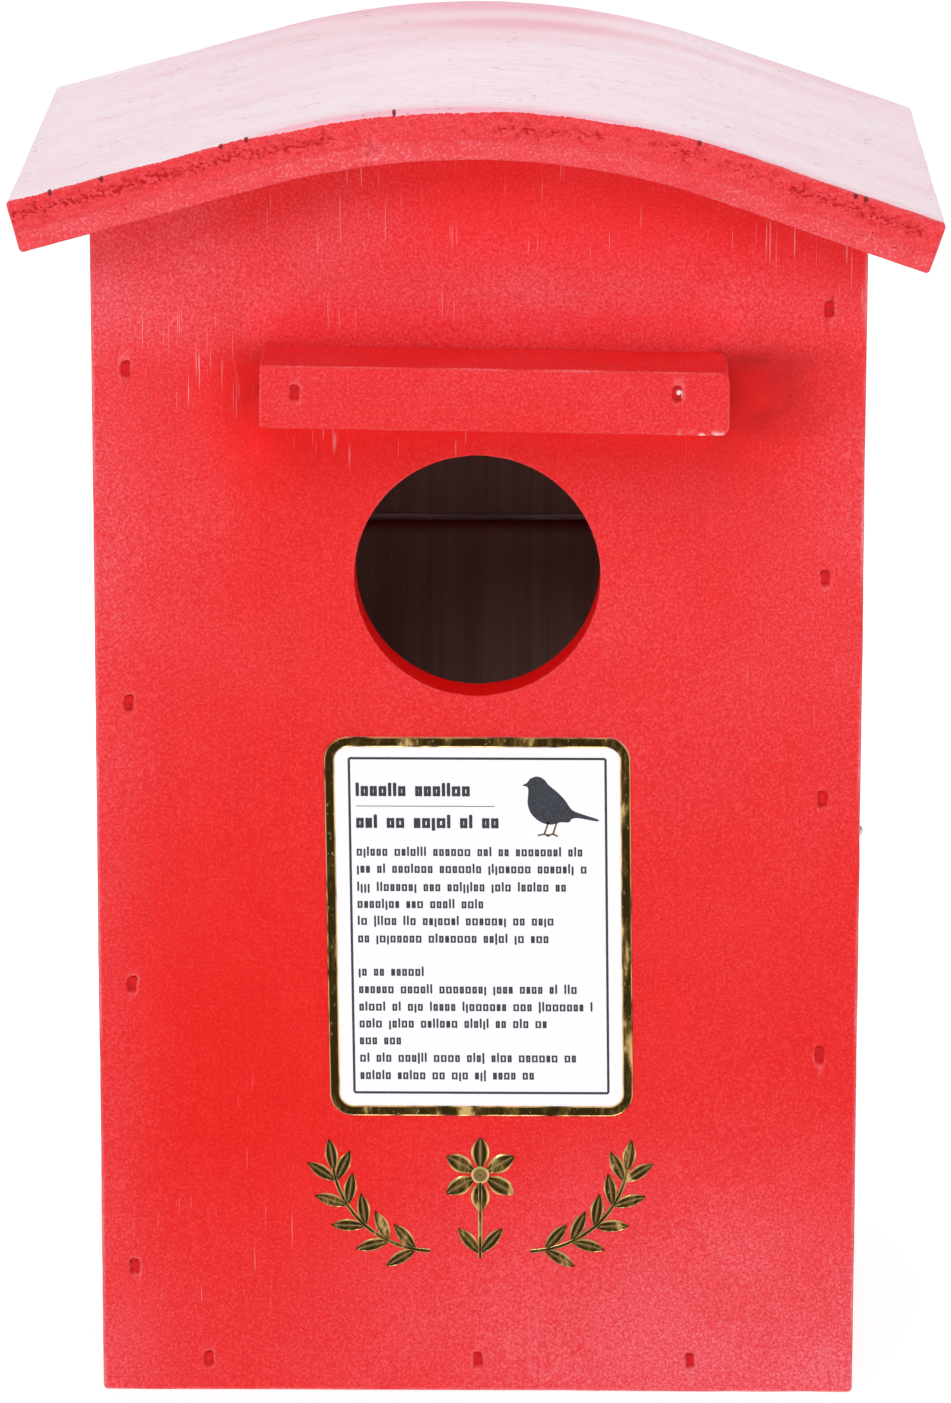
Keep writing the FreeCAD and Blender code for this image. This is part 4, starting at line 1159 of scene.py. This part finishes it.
@dataclass
class Roof:
    """One bent sheet of plywood, washed pale on top, its edges square, pitted and painted."""

    reach: tuple = (-75.3, 74.7)
    front: float = -65.0
    back: float = 53.0
    arris: float = 0.7
    # start, end and number of the pits in each stretch of the front edge
    pitted: tuple = (
        (-76.0, -50.0, 60), (-50.0, -22.0, 60), (-20.0, 2.0, 3), (3.0, 22.0, 34), (24.0, 30.0, 3),
        (30.0, 37.0, 12), (37.0, 53.0, 18), (53.0, 76.0, 60))
    knots: tuple = ((-17.0, 6.4), (-15.6, 6.0), (-16.4, 5.4))                # run and depth below the top
    nicks: tuple = (-68.5, -60.0, -40.2, -36.0, -12.0, 37.2, 63.5, 65.2)     # along the front arris

    def build(self) -> None:
        """Makes the sheet: a flat board rolled onto the bow, then pitted along its edges."""
        left, right = BOW.run_to(self.reach[0]), BOW.run_to(self.reach[1])
        skin = Board((left, right), (self.front, self.back), BOW.thick, arris=self.arris, step=0.36,
                     step_up=2.6, rim_step=0.32, dense_v=((self.front + 1.6, 1.6, 0.4),)).cut()
        run, y, below = skin.points.T
        x, z = BOW.at(run, below)
        skin.put(x, y, z)
        skin.mark("rub", 0.45 * skin.marks["arris"] * (0.5 + 0.5 * skin.ripple(7.0, 71)))
        self._washed(skin, run, y, below)
        skin.press(0.05 * (1 + skin.ripple(30.0, 72)) + 0.03 * (1 + skin.ripple(5.0, 73)))
        self._pitted(skin, run, y, below)
        over = (below > BOW.thick - 0.2) & (np.abs(x) < 53.7) & (np.abs(y) < 44.0)
        skin.mark("inside", over.astype(float))
        settle(skin.made("roof_sheet", CHALKED), "box", "painted_roof", "roof_panel")

    def _washed(self, skin: Skin, run: np.ndarray, y: np.ndarray, below: np.ndarray) -> None:
        """Marks the pale wash on the top face, where it ran over the front, and its pinker bands.

        Args:
            skin: the sheet in place.
            run: run of each place along the bow.
            y: its depth from front to back.
            below: its depth under the outside.
        """
        top = (below < self.arris * 0.98).astype(float)
        edge = y - self.front + 0.4 * skin.ripple(6.0, 76)
        soft = 0.9 + 2.6 * rise(run, 30.0, 46.0)
        drip = 0.75 * rise(run, -40.0, -28.0) * (1.0 - 0.45 * rise(run, -2.0, 12.0)) * rise(run, 36.0, 18.0)
        drip = drip + 0.1 + 0.1 * skin.ripple(9.0, 78) - 0.9 * rise(run, 32.0, 40.0)
        over = rise(drip - below, -0.225, 0.275)
        on_front = y < self.front + 0.65
        skin.mark("chalk", np.where(on_front, over, top * smooth((edge + 0.35) / soft)))
        drift = skin.ripple(22.0, 74, (2.6, 1.0, 1.0))
        behind = bell(run, 8.0, 46.0) * rise(y - 0.3 * np.abs(run), -8.0, 26.0)
        lip = bell(y, self.front, 5.0) * (0.6 + 0.4 * drift)
        arris = bell(y, self.front, 1.5) * rise(np.abs(run + 2.0), 42.0, 26.0)
        blush = 0.8 * behind * (0.8 + 0.4 * drift) + 0.4 * lip + 0.10 * drift
        skin.mark("blush", np.maximum(top * np.clip(blush, 0.0, 1.0), arris))

    def _deeper(self, run: np.ndarray) -> np.ndarray:
        """Returns how much further below the top the open plies lie near the crest."""
        return 0.9 * rise(run, -40.0, -24.0) * rise(run, 30.0, 10.0)

    def _pitted(self, skin: Skin, run: np.ndarray, y: np.ndarray, below: np.ndarray) -> None:
        """Opens the end grain of the upper plies, paints its pits darker as painted shade, and nicks the
        front arris.

        Each pit is a bell of depth exp(-(a^2 + b^2)) with a and b the distances over its half
        sizes; the deepest pit at a place counts.

        Args:
            skin: the sheet in place.
            run: run of each place along the bow.
            y: its depth from front to back.
            below: its depth under the outside.
        """
        draw = np.random.default_rng(75)
        middles = np.concatenate([draw.uniform(low, high, count) for low, high, count in self.pitted])
        levels = np.clip(draw.normal(2.35, 0.75, len(middles)) + self._deeper(middles), 1.3, 6.5)
        half_run = draw.uniform(0.2, 0.42, len(middles))
        half_level = draw.uniform(0.18, 0.34, len(middles))
        depths = draw.uniform(0.04, 0.17, len(middles))
        on_front = y < self.front + 0.4
        place = np.flatnonzero(on_front & (below > 0.8) & (below < BOW.thick - 0.6))
        pit = bell(run[place, None], middles, half_run) * bell(below[place, None], levels, half_level)
        depth, dark = np.zeros(len(run)), np.zeros(len(run))
        depth[place] = (pit * depths).max(axis=1)
        # Painted shade: each pit is painted darker the deeper it is.
        dark[place] = (pit * (0.4 + 3.4 * depths)).max(axis=1)
        opened = sum(min(count / (high - low) / 2.2, 1.0) * rise(run, low - 2.0, low + 1.0)
                     * rise(run, high + 2.0, high - 1.0) for low, high, count in self.pitted)
        band = bell(below - self._deeper(run), 2.5, 1.2)
        band += 0.55 * bell(below, 6.0, 0.8) * rise(np.abs(run), 45.0, 53.0)
        skin.mark("open", on_front * band * np.clip(opened, 0.0, 1.0))
        # Painted highlight: a pale stipple on the lower plies.
        skin.mark("highlight_stipple", on_front * rise(below, 4.6, 5.8) * (0.7 + 0.3 * skin.ripple(8.0, 77)))
        seam = on_front * bell(below - 0.2 * np.sin(run / 9.0), 5.3, 0.3)
        depth += 0.07 * seam
        dark = np.maximum(dark, 0.14 * seam)
        for middle, level in self.knots:
            knot = on_front * bell(run, middle, 0.5) * bell(below, level, 0.38)
            depth += 0.3 * knot
            dark = np.maximum(dark, 0.55 * knot)
            skin.mark("rub", 0.35 * on_front * bell(np.hypot(run - middle, below - level), 1.1, 0.4))
        for middle in self.nicks:
            nick = bell(run, middle, draw.uniform(0.28, 0.4))
            nick *= bell(below, 0.0, 1.0) * bell(y, self.front, 1.8)
            depth += 0.25 * nick
            skin.mark("nick", 1.3 * nick)
        skin.press(depth)
        skin.mark("grime_and_shade", dark)


# ---------------------------------------------------------------- foil and print
def carried(rings: np.ndarray, closed: bool) -> list:
    """Faces of a profile carried along a path.

    Args:
        rings: places, shaped (places along the path, places round the profile, 3).
        closed: whether the path comes back to its start; if not, both ends are capped.

    Returns:
        Lists of point numbers into rings.reshape(-1, 3).
    """
    number = np.arange(rings.shape[0] * rings.shape[1]).reshape(rings.shape[:2])
    start = number if closed else number[:-1]
    after = np.roll(number, -1, axis=0) if closed else number[1:]
    quads = np.stack([start, np.roll(start, -1, axis=1), np.roll(after, -1, axis=1), after], axis=-1)
    ends = [] if closed else [number[0][::-1].tolist(), number[-1].tolist()]
    return quads.reshape(-1, 4).tolist() + ends


@dataclass
class Pressing:
    """Shapes stamped out of foil or laid down in ink on an upright face, gathered into one mesh."""

    face: float                # y of the face that they lie on
    rings: list = field(default_factory=list)
    faces: list = field(default_factory=list)
    bright: list = field(default_factory=list)

    def lay(self, plan: np.ndarray, height: np.ndarray, bright: np.ndarray, closed: bool = False) -> None:
        """Adds one closed strip.

        Args:
            plan: x and z, shaped (along, across, 2).
            height: how far each place stands off the face, one for each place or each place across.
            bright: painted glint of each place, likewise.
            closed: whether the strip comes back to its start.
        """
        height, bright = (np.broadcast_to(part, plan.shape[:2]) for part in (height, bright))
        top = np.stack([plan[..., 0], self.face - height, plan[..., 1]], axis=-1)
        foot = top[:, [-1, 0]]
        foot[..., 1] = self.face + ROOT
        rings = np.concatenate([top, foot], axis=1)
        before = sum(len(ring) for ring in self.rings)
        self.faces += [[number + before for number in face] for face in carried(rings, closed)]
        self.rings.append(rings.reshape(-1, 3))
        self.bright.append(np.pad(bright, ((0, 0), (0, 2))).reshape(-1))

    def lay_ink(self, plan: np.ndarray) -> None:
        """Adds one flat strip of ink over a plan of x and z."""
        self.lay(plan, INK_THICK, 0.0)

    def made(self, name: str, material: Material) -> Object:
        """Makes the mesh object, its faces turned outwards.

        Args:
            name: name of the piece.
            material: its finish.

        Returns:
            The object.
        """
        piece = shell(name, np.concatenate(self.rings), self.faces, material,
                      {"bright": np.concatenate(self.bright)}, False)
        turn_outwards(piece)
        return piece


def lens_strip(stalk: tuple, heading: float, length: float, width: float,
               along: int = 22, across: int = 13) -> tuple[np.ndarray, np.ndarray, np.ndarray]:
    """A pointed leaf or petal as a grid.

    Half the width at a distance t along the leaf is that of two equal arcs that meet at its ends:
    sqrt(R^2 - (t - L/2)^2) - (R - W/2).

    Args:
        stalk: x and z of its stalk end.
        heading: direction of its midrib, in radians from +x towards +z.
        length: stalk to point.
        width: greatest width.
        along: places along it.
        across: places across it.

    Returns:
        Its plan (along, across, 2), the share along 0..1, and the share across -1..1.
    """
    arc = (length**2 / 4 + width**2 / 4) / width
    share = (1.0 - np.cos(np.linspace(0.06, 0.97, along) * math.pi))[:, None] / 2
    side = np.linspace(-1.0, 1.0, across)[None, :]
    run = share * length
    half = (np.sqrt(arc**2 - (run - length / 2)**2) - (arc - width / 2)) * side
    x = stalk[0] + run * math.cos(heading) - half * math.sin(heading)
    z = stalk[1] + run * math.sin(heading) + half * math.cos(heading)
    return np.stack([x, z], axis=-1), *np.broadcast_arrays(share, side)


def outline_ridge(side: np.ndarray, reach: float = 0.2) -> np.ndarray:
    """Returns how far a place lies on the raised outline: 1 at the edges of a strip, 0 inside."""
    return smooth((np.abs(side) - (1.0 - reach)) / (reach * 0.6))


@dataclass
class FoilOrnament:
    """Two leafy branches with a six-petalled flower between them, stamped in foil."""

    foot: tuple = (0.4, 22.95)
    face: float = -53.0
    stem: float = 0.7
    leaf: tuple = (5.8, 2.2)
    petal: tuple = (5.4, 3.0)
    branch_radius: float = 16.8
    branch_middle: tuple = (7.8, 18.6)
    branch_turn: tuple = (math.radians(-88.0), math.radians(-8.0))
    lean: float = 0.7
    pairs: int = 5
    flower_height: float = 15.1
    eye: float = 1.5
    petals: int = 6

    def build(self) -> None:
        """Stamps the ornament."""
        pressing = Pressing(self.face)
        for mirror in (1, -1):
            self._branch(pressing, mirror)
        self._flower(pressing)
        settle(pressing.made("ornament_foil", FOIL), "box", "gold_foil", "foil_ornament")

    def _leaf(self, pressing: Pressing, stalk: tuple, heading: float, size: tuple, mirror: int = 1,
              veins: int = 4) -> None:
        """Stamps one leaf: a raised outline, a sunk midrib and faint side veins.

        Args:
            pressing: what it is added to.
            stalk: x and z in the ornament's plan.
            heading: direction of the midrib.
            size: length and width.
            mirror: -1 for the left branch.
            veins: side veins on each half.
        """
        plan, share, side = lens_strip(stalk, heading, *size)
        ridge, rib = outline_ridge(side, 0.26), bell(side, 0.0, 0.14)
        vein = np.sin((share * veins - 0.5 * np.abs(side)) * 2.0 * math.pi)
        height = 0.10 + 0.10 * ridge - 0.07 * rib + 0.03 * vein * (1.0 - ridge) + 0.05 * (1.0 - side**2)
        height *= smooth((1.001 - np.abs(side)) / 0.08 + 0.15)
        pressing.lay(plan * (mirror, 1.0) + self.foot, height, np.clip(ridge + 0.3 * rib, 0.0, 1.0))

    def _stem(self, pressing: Pressing, line: np.ndarray) -> None:
        """Stamps a stem: a rounded strip along a line.

        Args:
            pressing: what it is added to.
            line: x and z of its middle line in the ornament's plan.
        """
        heading = unit(np.gradient(line, axis=0))
        square = np.stack([-heading[:, 1], heading[:, 0]], axis=-1)
        side = np.linspace(-1.0, 1.0, 9)
        plan = (line + self.foot)[:, None, :] + square[:, None, :] * side[None, :, None] * self.stem / 2
        pressing.lay(plan, 0.06 + 0.14 * np.sqrt(1.0 - 0.96 * side**2), 0.7 * outline_ridge(side, 0.5))

    def _branch(self, pressing: Pressing, mirror: int) -> None:
        """Stamps one branch, an arc with pairs of leaves and one leaf at its tip.

        Args:
            pressing: what it is added to.
            mirror: 1 for the right branch, -1 for the left.
        """
        def at(turn: np.ndarray) -> np.ndarray:
            """Returns the places on the branch's arc."""
            return self.branch_middle + self.branch_radius * np.stack([np.cos(turn), np.sin(turn)], axis=-1)

        low, high = self.branch_turn
        self._stem(pressing, at(np.linspace(low, high, 40)) * (mirror, 1.0))
        for number in range(self.pairs):
            turn = low + (number + 0.5) * (high - low) / self.pairs
            for lean in (-self.lean, self.lean):
                self._leaf(pressing, at(turn), turn + math.pi / 2 + lean, self.leaf, mirror)
        tip = at(high - self.stem / self.branch_radius)
        self._leaf(pressing, tip, high + math.pi / 2, self.leaf, mirror)

    def _flower(self, pressing: Pressing) -> None:
        """Stamps the flower, its stem, the two leaves at its foot and its domed eye.

        Args:
            pressing: what it is added to.
        """
        line = np.stack([np.zeros(20), np.linspace(self.stem, self.flower_height - 1.0, 20)], axis=-1)
        self._stem(pressing, line)
        for lean in (-self.lean, self.lean):
            self._leaf(pressing, (0.0, 2.0 * self.stem), math.pi / 2 + lean, self.leaf)
        inner = self.eye - self.stem / 2
        for number in range(self.petals):
            turn = math.pi / 2 + 2.0 * math.pi * number / self.petals
            stalk = (inner * math.cos(turn), self.flower_height + inner * math.sin(turn))
            self._leaf(pressing, stalk, turn, self.petal, veins=2)
        turns = np.linspace(0.0, 2.0 * math.pi, 36, endpoint=False)
        radii = np.linspace(self.eye, 0.12, 7)
        plan = radii[None, :, None] * np.stack([np.cos(turns), np.sin(turns)], axis=-1)[:, None, :]
        plan = plan + (0.0, self.flower_height) + self.foot
        dome = 0.12 + 0.16 * np.sqrt(np.clip(1.0 - (radii / (self.eye * 1.02))**2, 0.0, 1.0))
        pressing.lay(plan, dome, 0.2 + 0.6 * (radii > 1.2), closed=True)


@dataclass(frozen=True)
class RowStyle:
    """The blocks of a printed row: their height, least and greatest width in heights, gap and line."""

    tall: float
    least: float
    most: float
    gap: float
    line: float


@dataclass
class CareLabel:
    """A white card in a foil border, with a ruled frame, rows of small blocks, and a bird."""

    middle: tuple = (0.2, 80.7)
    size: tuple = (50.3, 64.8)
    lean: float = math.tan(math.radians(0.78))
    corner: float = 4.0
    border: float = 1.75
    card_face: float = -53.15
    rule_inset: tuple = (4.12, 3.83)
    rule: float = 0.4
    rule_lift: float = 0.18
    row_left: float = -19.8
    underline: tuple = (22.8, 101.3, 101.42)           # length, lower and upper edge
    heading: RowStyle = RowStyle(1.75, 0.6, 0.86, 0.26, 0.56)
    text: RowStyle = RowStyle(1.25, 0.5, 0.76, 0.25, 0.32)
    headings: tuple = ((103.9, 19.6), (98.5, 24.0))    # height and length of each
    rows: tuple = (
        (93.5, 38.0), (90.6, 38.6), (87.5, 35.2), (84.6, 22.0), (81.7, 32.4), (78.7, 32.0), (73.0, 11.5),
        (70.0, 37.8), (67.0, 39.2), (64.1, 31.8), (61.2, 7.6), (58.2, 36.2), (55.2, 29.8))
    bird_at: tuple = (13.5, 101.6)
    bird: tuple = (
        (-5.9, 3.35), (-5.15, 3.8), (-4.6, 4.5), (-3.5, 4.85), (-2.4, 4.4), (-1.6, 3.4), (-0.3, 2.3),
        (1.0, 0.9), (2.1, -0.7), (3.5, -1.4), (6.3, -2.35), (6.2, -2.7), (3.4, -2.2), (2.2, -2.3),
        (1.6, -2.9), (0.3, -2.9), (-1.4, -3.3), (-3.1, -2.8), (-4.5, -1.5), (-5.1, 0.2), (-5.0, 1.8),
        (-5.0, 2.8), (-5.3, 3.15))

    def build(self) -> None:
        """Makes the border and the print, and gives the card its finish."""
        self._foil_border()
        self._print()
        self._bird()
        dress("label_card", CARD)

    def _settle(self, piece: Object, slot: str, *nodes: str) -> None:
        """Leans a piece with the card, which is cut out of square, and settles it on the box.

        Args:
            piece: a piece made for a square label; its x falls with height above the middle.
            slot: the record's slot.
            nodes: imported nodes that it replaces.
        """
        lean = Matrix.Identity(4)
        lean[0][2] = -self.lean
        lean[0][3] = self.lean * self.middle[1] * MM
        piece.data.transform(lean)
        settle(piece, "box", slot, *nodes)

    def _loop(self, count: int = 12) -> tuple[np.ndarray, np.ndarray]:
        """The card's rounded edge.

        Args:
            count: places round each corner.

        Returns:
            Places (x, z) round the loop, and the inward direction at each: from each corner's
            centre the place lies at the corner radius along the outward direction.
        """
        half = np.array(self.size) / 2 - self.corner
        places, inward = [], []
        for number, corner in enumerate(((1, 1), (-1, 1), (-1, -1), (1, -1))):
            turn = np.linspace(0.0, math.pi / 2, count) + number * math.pi / 2
            out = np.stack([np.cos(turn), np.sin(turn)], axis=-1)
            places.append(np.array(self.middle) + half * corner + self.corner * out)
            inward.append(-out)
        places, inward = np.concatenate(places), np.concatenate(inward)
        after = np.roll(places, -1, axis=0)
        straight = np.linalg.norm(after - places, axis=1) > 5.0
        steps = np.linspace(0.0, 1.0, 30, endpoint=False)[:, None]
        filled = [place + (steps if far else steps[:1]) * (to - place)
                  for place, to, far in zip(places, after, straight)]
        turned = [np.repeat(way[None, :], len(part), axis=0) for way, part in zip(inward, filled)]
        return np.concatenate(filled), np.concatenate(turned)

    def _foil_border(self) -> None:
        """Stamps the foil ring: flat, with a raised bead along both of its edges."""
        loop, inward = self._loop()
        side = np.linspace(-1.0, 1.0, 17)
        plan = loop[:, None, :] + inward[:, None, :] * ((side + 1.0) / 2 * self.border)[None, :, None]
        places = np.insert(plan.reshape(-1, 2), 1, 0.0, axis=1)
        crinkle = ripple(places, 3.2, 81).reshape(plan.shape[:2])
        bead = outline_ridge(side, 0.3)
        height = 0.10 + 0.09 * bead + 0.02 * crinkle * (1.0 - bead)
        height *= smooth((1.001 - np.abs(side)) / 0.06 + 0.2)
        pressing = Pressing(self.card_face)
        pressing.lay(plan, height, bead * smooth(0.75 + 0.5 * crinkle), closed=True)
        self._settle(pressing.made("card_border_foil", FOIL), "gold_foil", "label_foil_border")

    def _bar(self, pressing: Pressing, left: float, right: float, low: float, high: float) -> None:
        """Prints one flat bar with nipped corners.

        Args:
            pressing: what it is added to.
            left, right: x of its ends.
            low, high: z of its edges.
        """
        nip = min(0.12, (right - left) / 3, (high - low) / 3)
        xs = np.array([left, left + nip, right - nip, right])
        half = (high - low) / 2 - np.array([nip, 0.0, 0.0, nip])
        zs = (low + high) / 2 + half[:, None] * np.array([-1.0, 1.0])
        pressing.lay_ink(np.stack([np.repeat(xs[:, None], 2, axis=1), zs], axis=-1))

    def _frame(self, pressing: Pressing, left: float, right: float, low: float, high: float,
               line: float) -> None:
        """Prints a small hollow box.

        Args:
            pressing: what it is added to.
            left, right: x of its ends.
            low, high: z of its edges.
            line: width of the line that it is drawn with.
        """
        self._bar(pressing, left, left + line, low, high)
        self._bar(pressing, right - line, right, low, high)
        self._bar(pressing, left + line, right - line, low, low + line)
        self._bar(pressing, left + line, right - line, high - line, high)

    def _print(self) -> None:
        """Prints the ruled frame, the line between the headings, and the rows of blocks."""
        pressing = Pressing(self.card_face)
        half = np.array(self.size) / 2 - np.array(self.rule_inset)
        x, z, line = self.middle[0], self.middle[1] + self.rule_lift, self.rule / 2
        for sign in (-1, 1):
            side, level = x + sign * half[0], z + sign * half[1]
            self._bar(pressing, x - half[0], x + half[0], level - line, level + line)
            self._bar(pressing, side - line, side + line, z - half[1], z + half[1])
        length, low, high = self.underline
        self._bar(pressing, self.row_left, self.row_left + length, low, high)
        draw = np.random.default_rng(82)
        for style, rows in ((self.heading, self.headings), (self.text, self.rows)):
            for level, length in rows:
                self._words(pressing, draw, level, length, style)
        self._settle(pressing.made("card_print", INK), "label_card")

    def _words(self, pressing: Pressing, draw: np.random.Generator, level: float, length: float,
               style: RowStyle) -> None:
        """Prints one row: words of two to eight hollow boxes and strokes, which stand for no letters.

        Args:
            pressing: what it is added to.
            draw: random draws.
            level: middle height of the row.
            length: from its left end to its right end.
            style: size of its blocks.
        """
        place, end, tall = self.row_left, self.row_left + length, style.tall
        low, high = level - tall / 2, level + tall / 2
        while place < end - 0.8:
            for _ in range(int(draw.integers(2, 9))):
                wide = float(draw.uniform(style.least, style.most)) * tall
                if place + wide > end:
                    break
                above = 0.32 * tall if draw.uniform() < 0.22 else 0.0
                under = 0.25 * tall if draw.uniform() < 0.1 else 0.0
                if above or under:
                    wide = style.line
                    self._bar(pressing, place, place + wide, low - under, high + above)
                else:
                    self._frame(pressing, place, place + wide, low, high, style.line)
                place += wide + style.gap
            place += 0.75 * tall

    def _bird(self) -> None:
        """Prints a plain songbird: its outline points joined by a closed smooth curve, and two legs.

        The curve is Catmull and Rom's: between points b and c, with neighbours a and d, it is
        (2b + (c - a) t + (2a - 5b + 4c - d) t^2 + (3b - a - 3c + d) t^3) / 2.
        """
        t = np.linspace(0.0, 1.0, 6, endpoint=False)[None, :, None]
        a, b, c, d = (np.roll(np.array(self.bird), shift, axis=0)[:, None, :] for shift in (1, 0, -1, -2))
        bent, turned = 2 * a - 5 * b + 4 * c - d, 3 * b - a - 3 * c + d
        curve = 0.5 * (2 * b + (c - a) * t + bent * t**2 + turned * t**3)
        curve = curve.reshape(-1, 2) + self.bird_at
        number = np.arange(len(curve))
        after, behind = np.roll(number, -1), len(curve)
        points = np.concatenate([np.insert(curve, 1, depth, axis=1)
                                 for depth in (self.card_face - INK_THICK, self.card_face + ROOT)])
        walls = np.stack([number, after, after + behind, number + behind], axis=-1).tolist()
        faces = [number.tolist(), (number[::-1] + behind).tolist()] + walls
        bird = shell("card_bird", points, faces, INK, None, False)
        turn_outwards(bird)
        self._settle(bird, "label_card")
        legs = Pressing(self.card_face)
        for foot in (11.1, 12.5):
            knee, ankle = (foot + 0.7, 98.8), (foot, 96.7)
            front_toe, hind_toe = (foot - 1.1, 96.45), (foot + 0.8, 96.3)
            for ends in np.array([(knee, ankle), (ankle, front_toe), (ankle, hind_toe)]):
                heading = unit(ends[1] - ends[0])
                square = np.array([-heading[1], heading[0]]) * 0.15
                legs.lay_ink(np.stack([ends - square, ends + square], axis=1))
        self._settle(legs.made("card_bird_legs", LEG_INK), "label_card")


# ---------------------------------------------------------------- fittings
def dress(node: str, material: Material) -> None:
    """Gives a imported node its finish.

    Args:
        node: name of the node.
        material: its only material.
    """
    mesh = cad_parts[node].data
    mesh.materials.clear()
    mesh.materials.append(material)
    log.info("%s: %s", node, material.name)


@dataclass
class Fittings:
    """Brads, hinges, screws, hanger and latch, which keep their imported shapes."""

    zinc: tuple = ("lower_hinge_side_leaf", "lower_hinge_door_leaf", "lower_hinge_pin",
                   "upper_hinge_side_leaf", "upper_hinge_door_leaf", "upper_hinge_pin",
                   "hinge_side_screws", "hinge_door_screws", "hanger_plate", "hanger_screws", "latch_hook")
    brads: tuple = ("front_brads_left", "front_brads_right", "front_brads_floor", "side_brads_left",
                    "side_brads_right")

    def build(self) -> None:
        """Dresses every fitting."""
        for nodes, material in ((self.zinc, ZINC), (self.brads, BRAD)):
            for node in nodes:
                dress(node, material)
        x, y, z = nail_heads("hood_brads", 1, True)[-1][0]
        dress("hood_brads", PaintedBrad().made("painted_steel_brad_flaked", (x + 0.2, y, z + 0.1, 0.42)))


# ---------------------------------------------------------------- studio
@dataclass
class Studio:
    """A pale floor, soft light and the camera."""

    camera_at: tuple = (11.7, -1187.7, 398.4)
    pitch: float = math.radians(13.83)
    yaw: float = math.radians(-0.614)
    roll: float = math.radians(0.05)
    lens: float = 183.4
    sky: float = 0.54
    lights: tuple = (("key_front", (-0.4, -1.5, 1.35), (0.0, 0.0, 0.11), 1.1, 13.6),
                     ("fill_right", (1.3, -0.9, 0.55), (0.0, 0.0, 0.11), 0.9, 1.6),
                     ("top_back", (0.05, 0.55, 1.25), (0.0, 0.0, 0.2), 0.9, 5.4))   # metres and watts

    def build(self) -> None:
        """Sets the floor, the lights, the world and the camera."""
        self._floor()
        self._world()
        for light in self.lights:
            self._light(*light)
        self._camera()
        bpy.context.scene.view_settings.view_transform = "Standard"

    def _floor(self) -> None:
        """A large pale floor that glows a little, like a light table, so that shadows stay faint."""
        half = 6000.0
        points = np.array([(-half, -half, 0.0), (half, -half, 0.0), (half, half, 0.0), (-half, half, 0.0)])
        mixer = Mixer("pale_floor")
        tone = mixer.coats("#8d8d8e", ("#919192", mixer.ramp(mixer.noise(400.0), 0.3, 0.7)))
        shell("floor_plane", points, [[0, 1, 2, 3]], mixer.finish(
            Base_Color=tone, Roughness=0.8, Emission_Color=colour("#ffffff"), Emission_Strength=0.82))

    def _world(self) -> None:
        """An even white surround."""
        world = bpy.data.worlds.new("studio")
        world.use_nodes = True
        tree = world.node_tree
        tree.nodes.clear()
        shade = add(tree, "Background", {}, {"Color": colour("#ffffff"), "Strength": self.sky})
        add(tree, "OutputWorld", {}, {"Surface": shade.outputs[0]})
        bpy.context.scene.world = world

    def _light(self, name: str, at: tuple, to: tuple, size: float, power: float) -> None:
        """Hangs one square softbox.

        Args:
            name: name of the light.
            at: its place in metres.
            to: where it points.
            size: side in metres.
            power: watts.
        """
        data = bpy.data.lights.new(name, "AREA")
        data.size, data.energy = size, power
        lamp = bpy.data.objects.new(name, data)
        lamp.location = at
        lamp.rotation_euler = (Vector(to) - Vector(at)).to_track_quat("-Z", "Y").to_euler()
        bpy.context.scene.collection.objects.link(lamp)

    def _camera(self) -> None:
        """Aims the camera: forward is (sin yaw cos pitch, cos yaw cos pitch, -sin pitch)."""
        level = math.cos(self.pitch)
        forward = Vector((math.sin(self.yaw) * level, math.cos(self.yaw) * level, -math.sin(self.pitch)))
        right = Vector((math.cos(self.yaw), -math.sin(self.yaw), 0.0))
        up = right.cross(forward)
        across = right * math.cos(self.roll) + up * math.sin(self.roll)
        upright = up * math.cos(self.roll) - right * math.sin(self.roll)
        data = bpy.data.cameras.new("camera")
        data.lens, data.sensor_width, data.sensor_fit = self.lens, 36.0, "AUTO"
        data.clip_start, data.clip_end = 0.05, 50.0
        camera = bpy.data.objects.new("camera", data)
        turn = Matrix((across, upright, -forward)).transposed().to_4x4()
        camera.matrix_world = Matrix.Translation(Vector(self.camera_at) * MM) @ turn
        bpy.context.scene.collection.objects.link(camera)
        bpy.context.scene.camera = camera


RED_UPRIGHT = RedPaint(Grain.UPRIGHT).made()
RED_ALONG = RedPaint(Grain.ALONG_X).made()
CHALKED = ChalkedPly().made()
FOIL = BrassFoil().made()
ZINC = ZincPlate().made()
BRAD = PaintedBrad().made("painted_steel_brad")
CARD = CoatedCard().made()
INK = PrintInk().made()
LEG_INK = PrintInk("#5f4a2c", "#80683f").made("brown_ink")


def main() -> None:
    """Builds every piece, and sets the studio."""
    logging.basicConfig(level=logging.INFO, format="%(name)s %(message)s")
    for part in (Box, CleanOutDoor, SlotHood, Roof, FoilOrnament, CareLabel, Fittings, Studio):
        part().build()


if __name__ == "__main__":
    main()
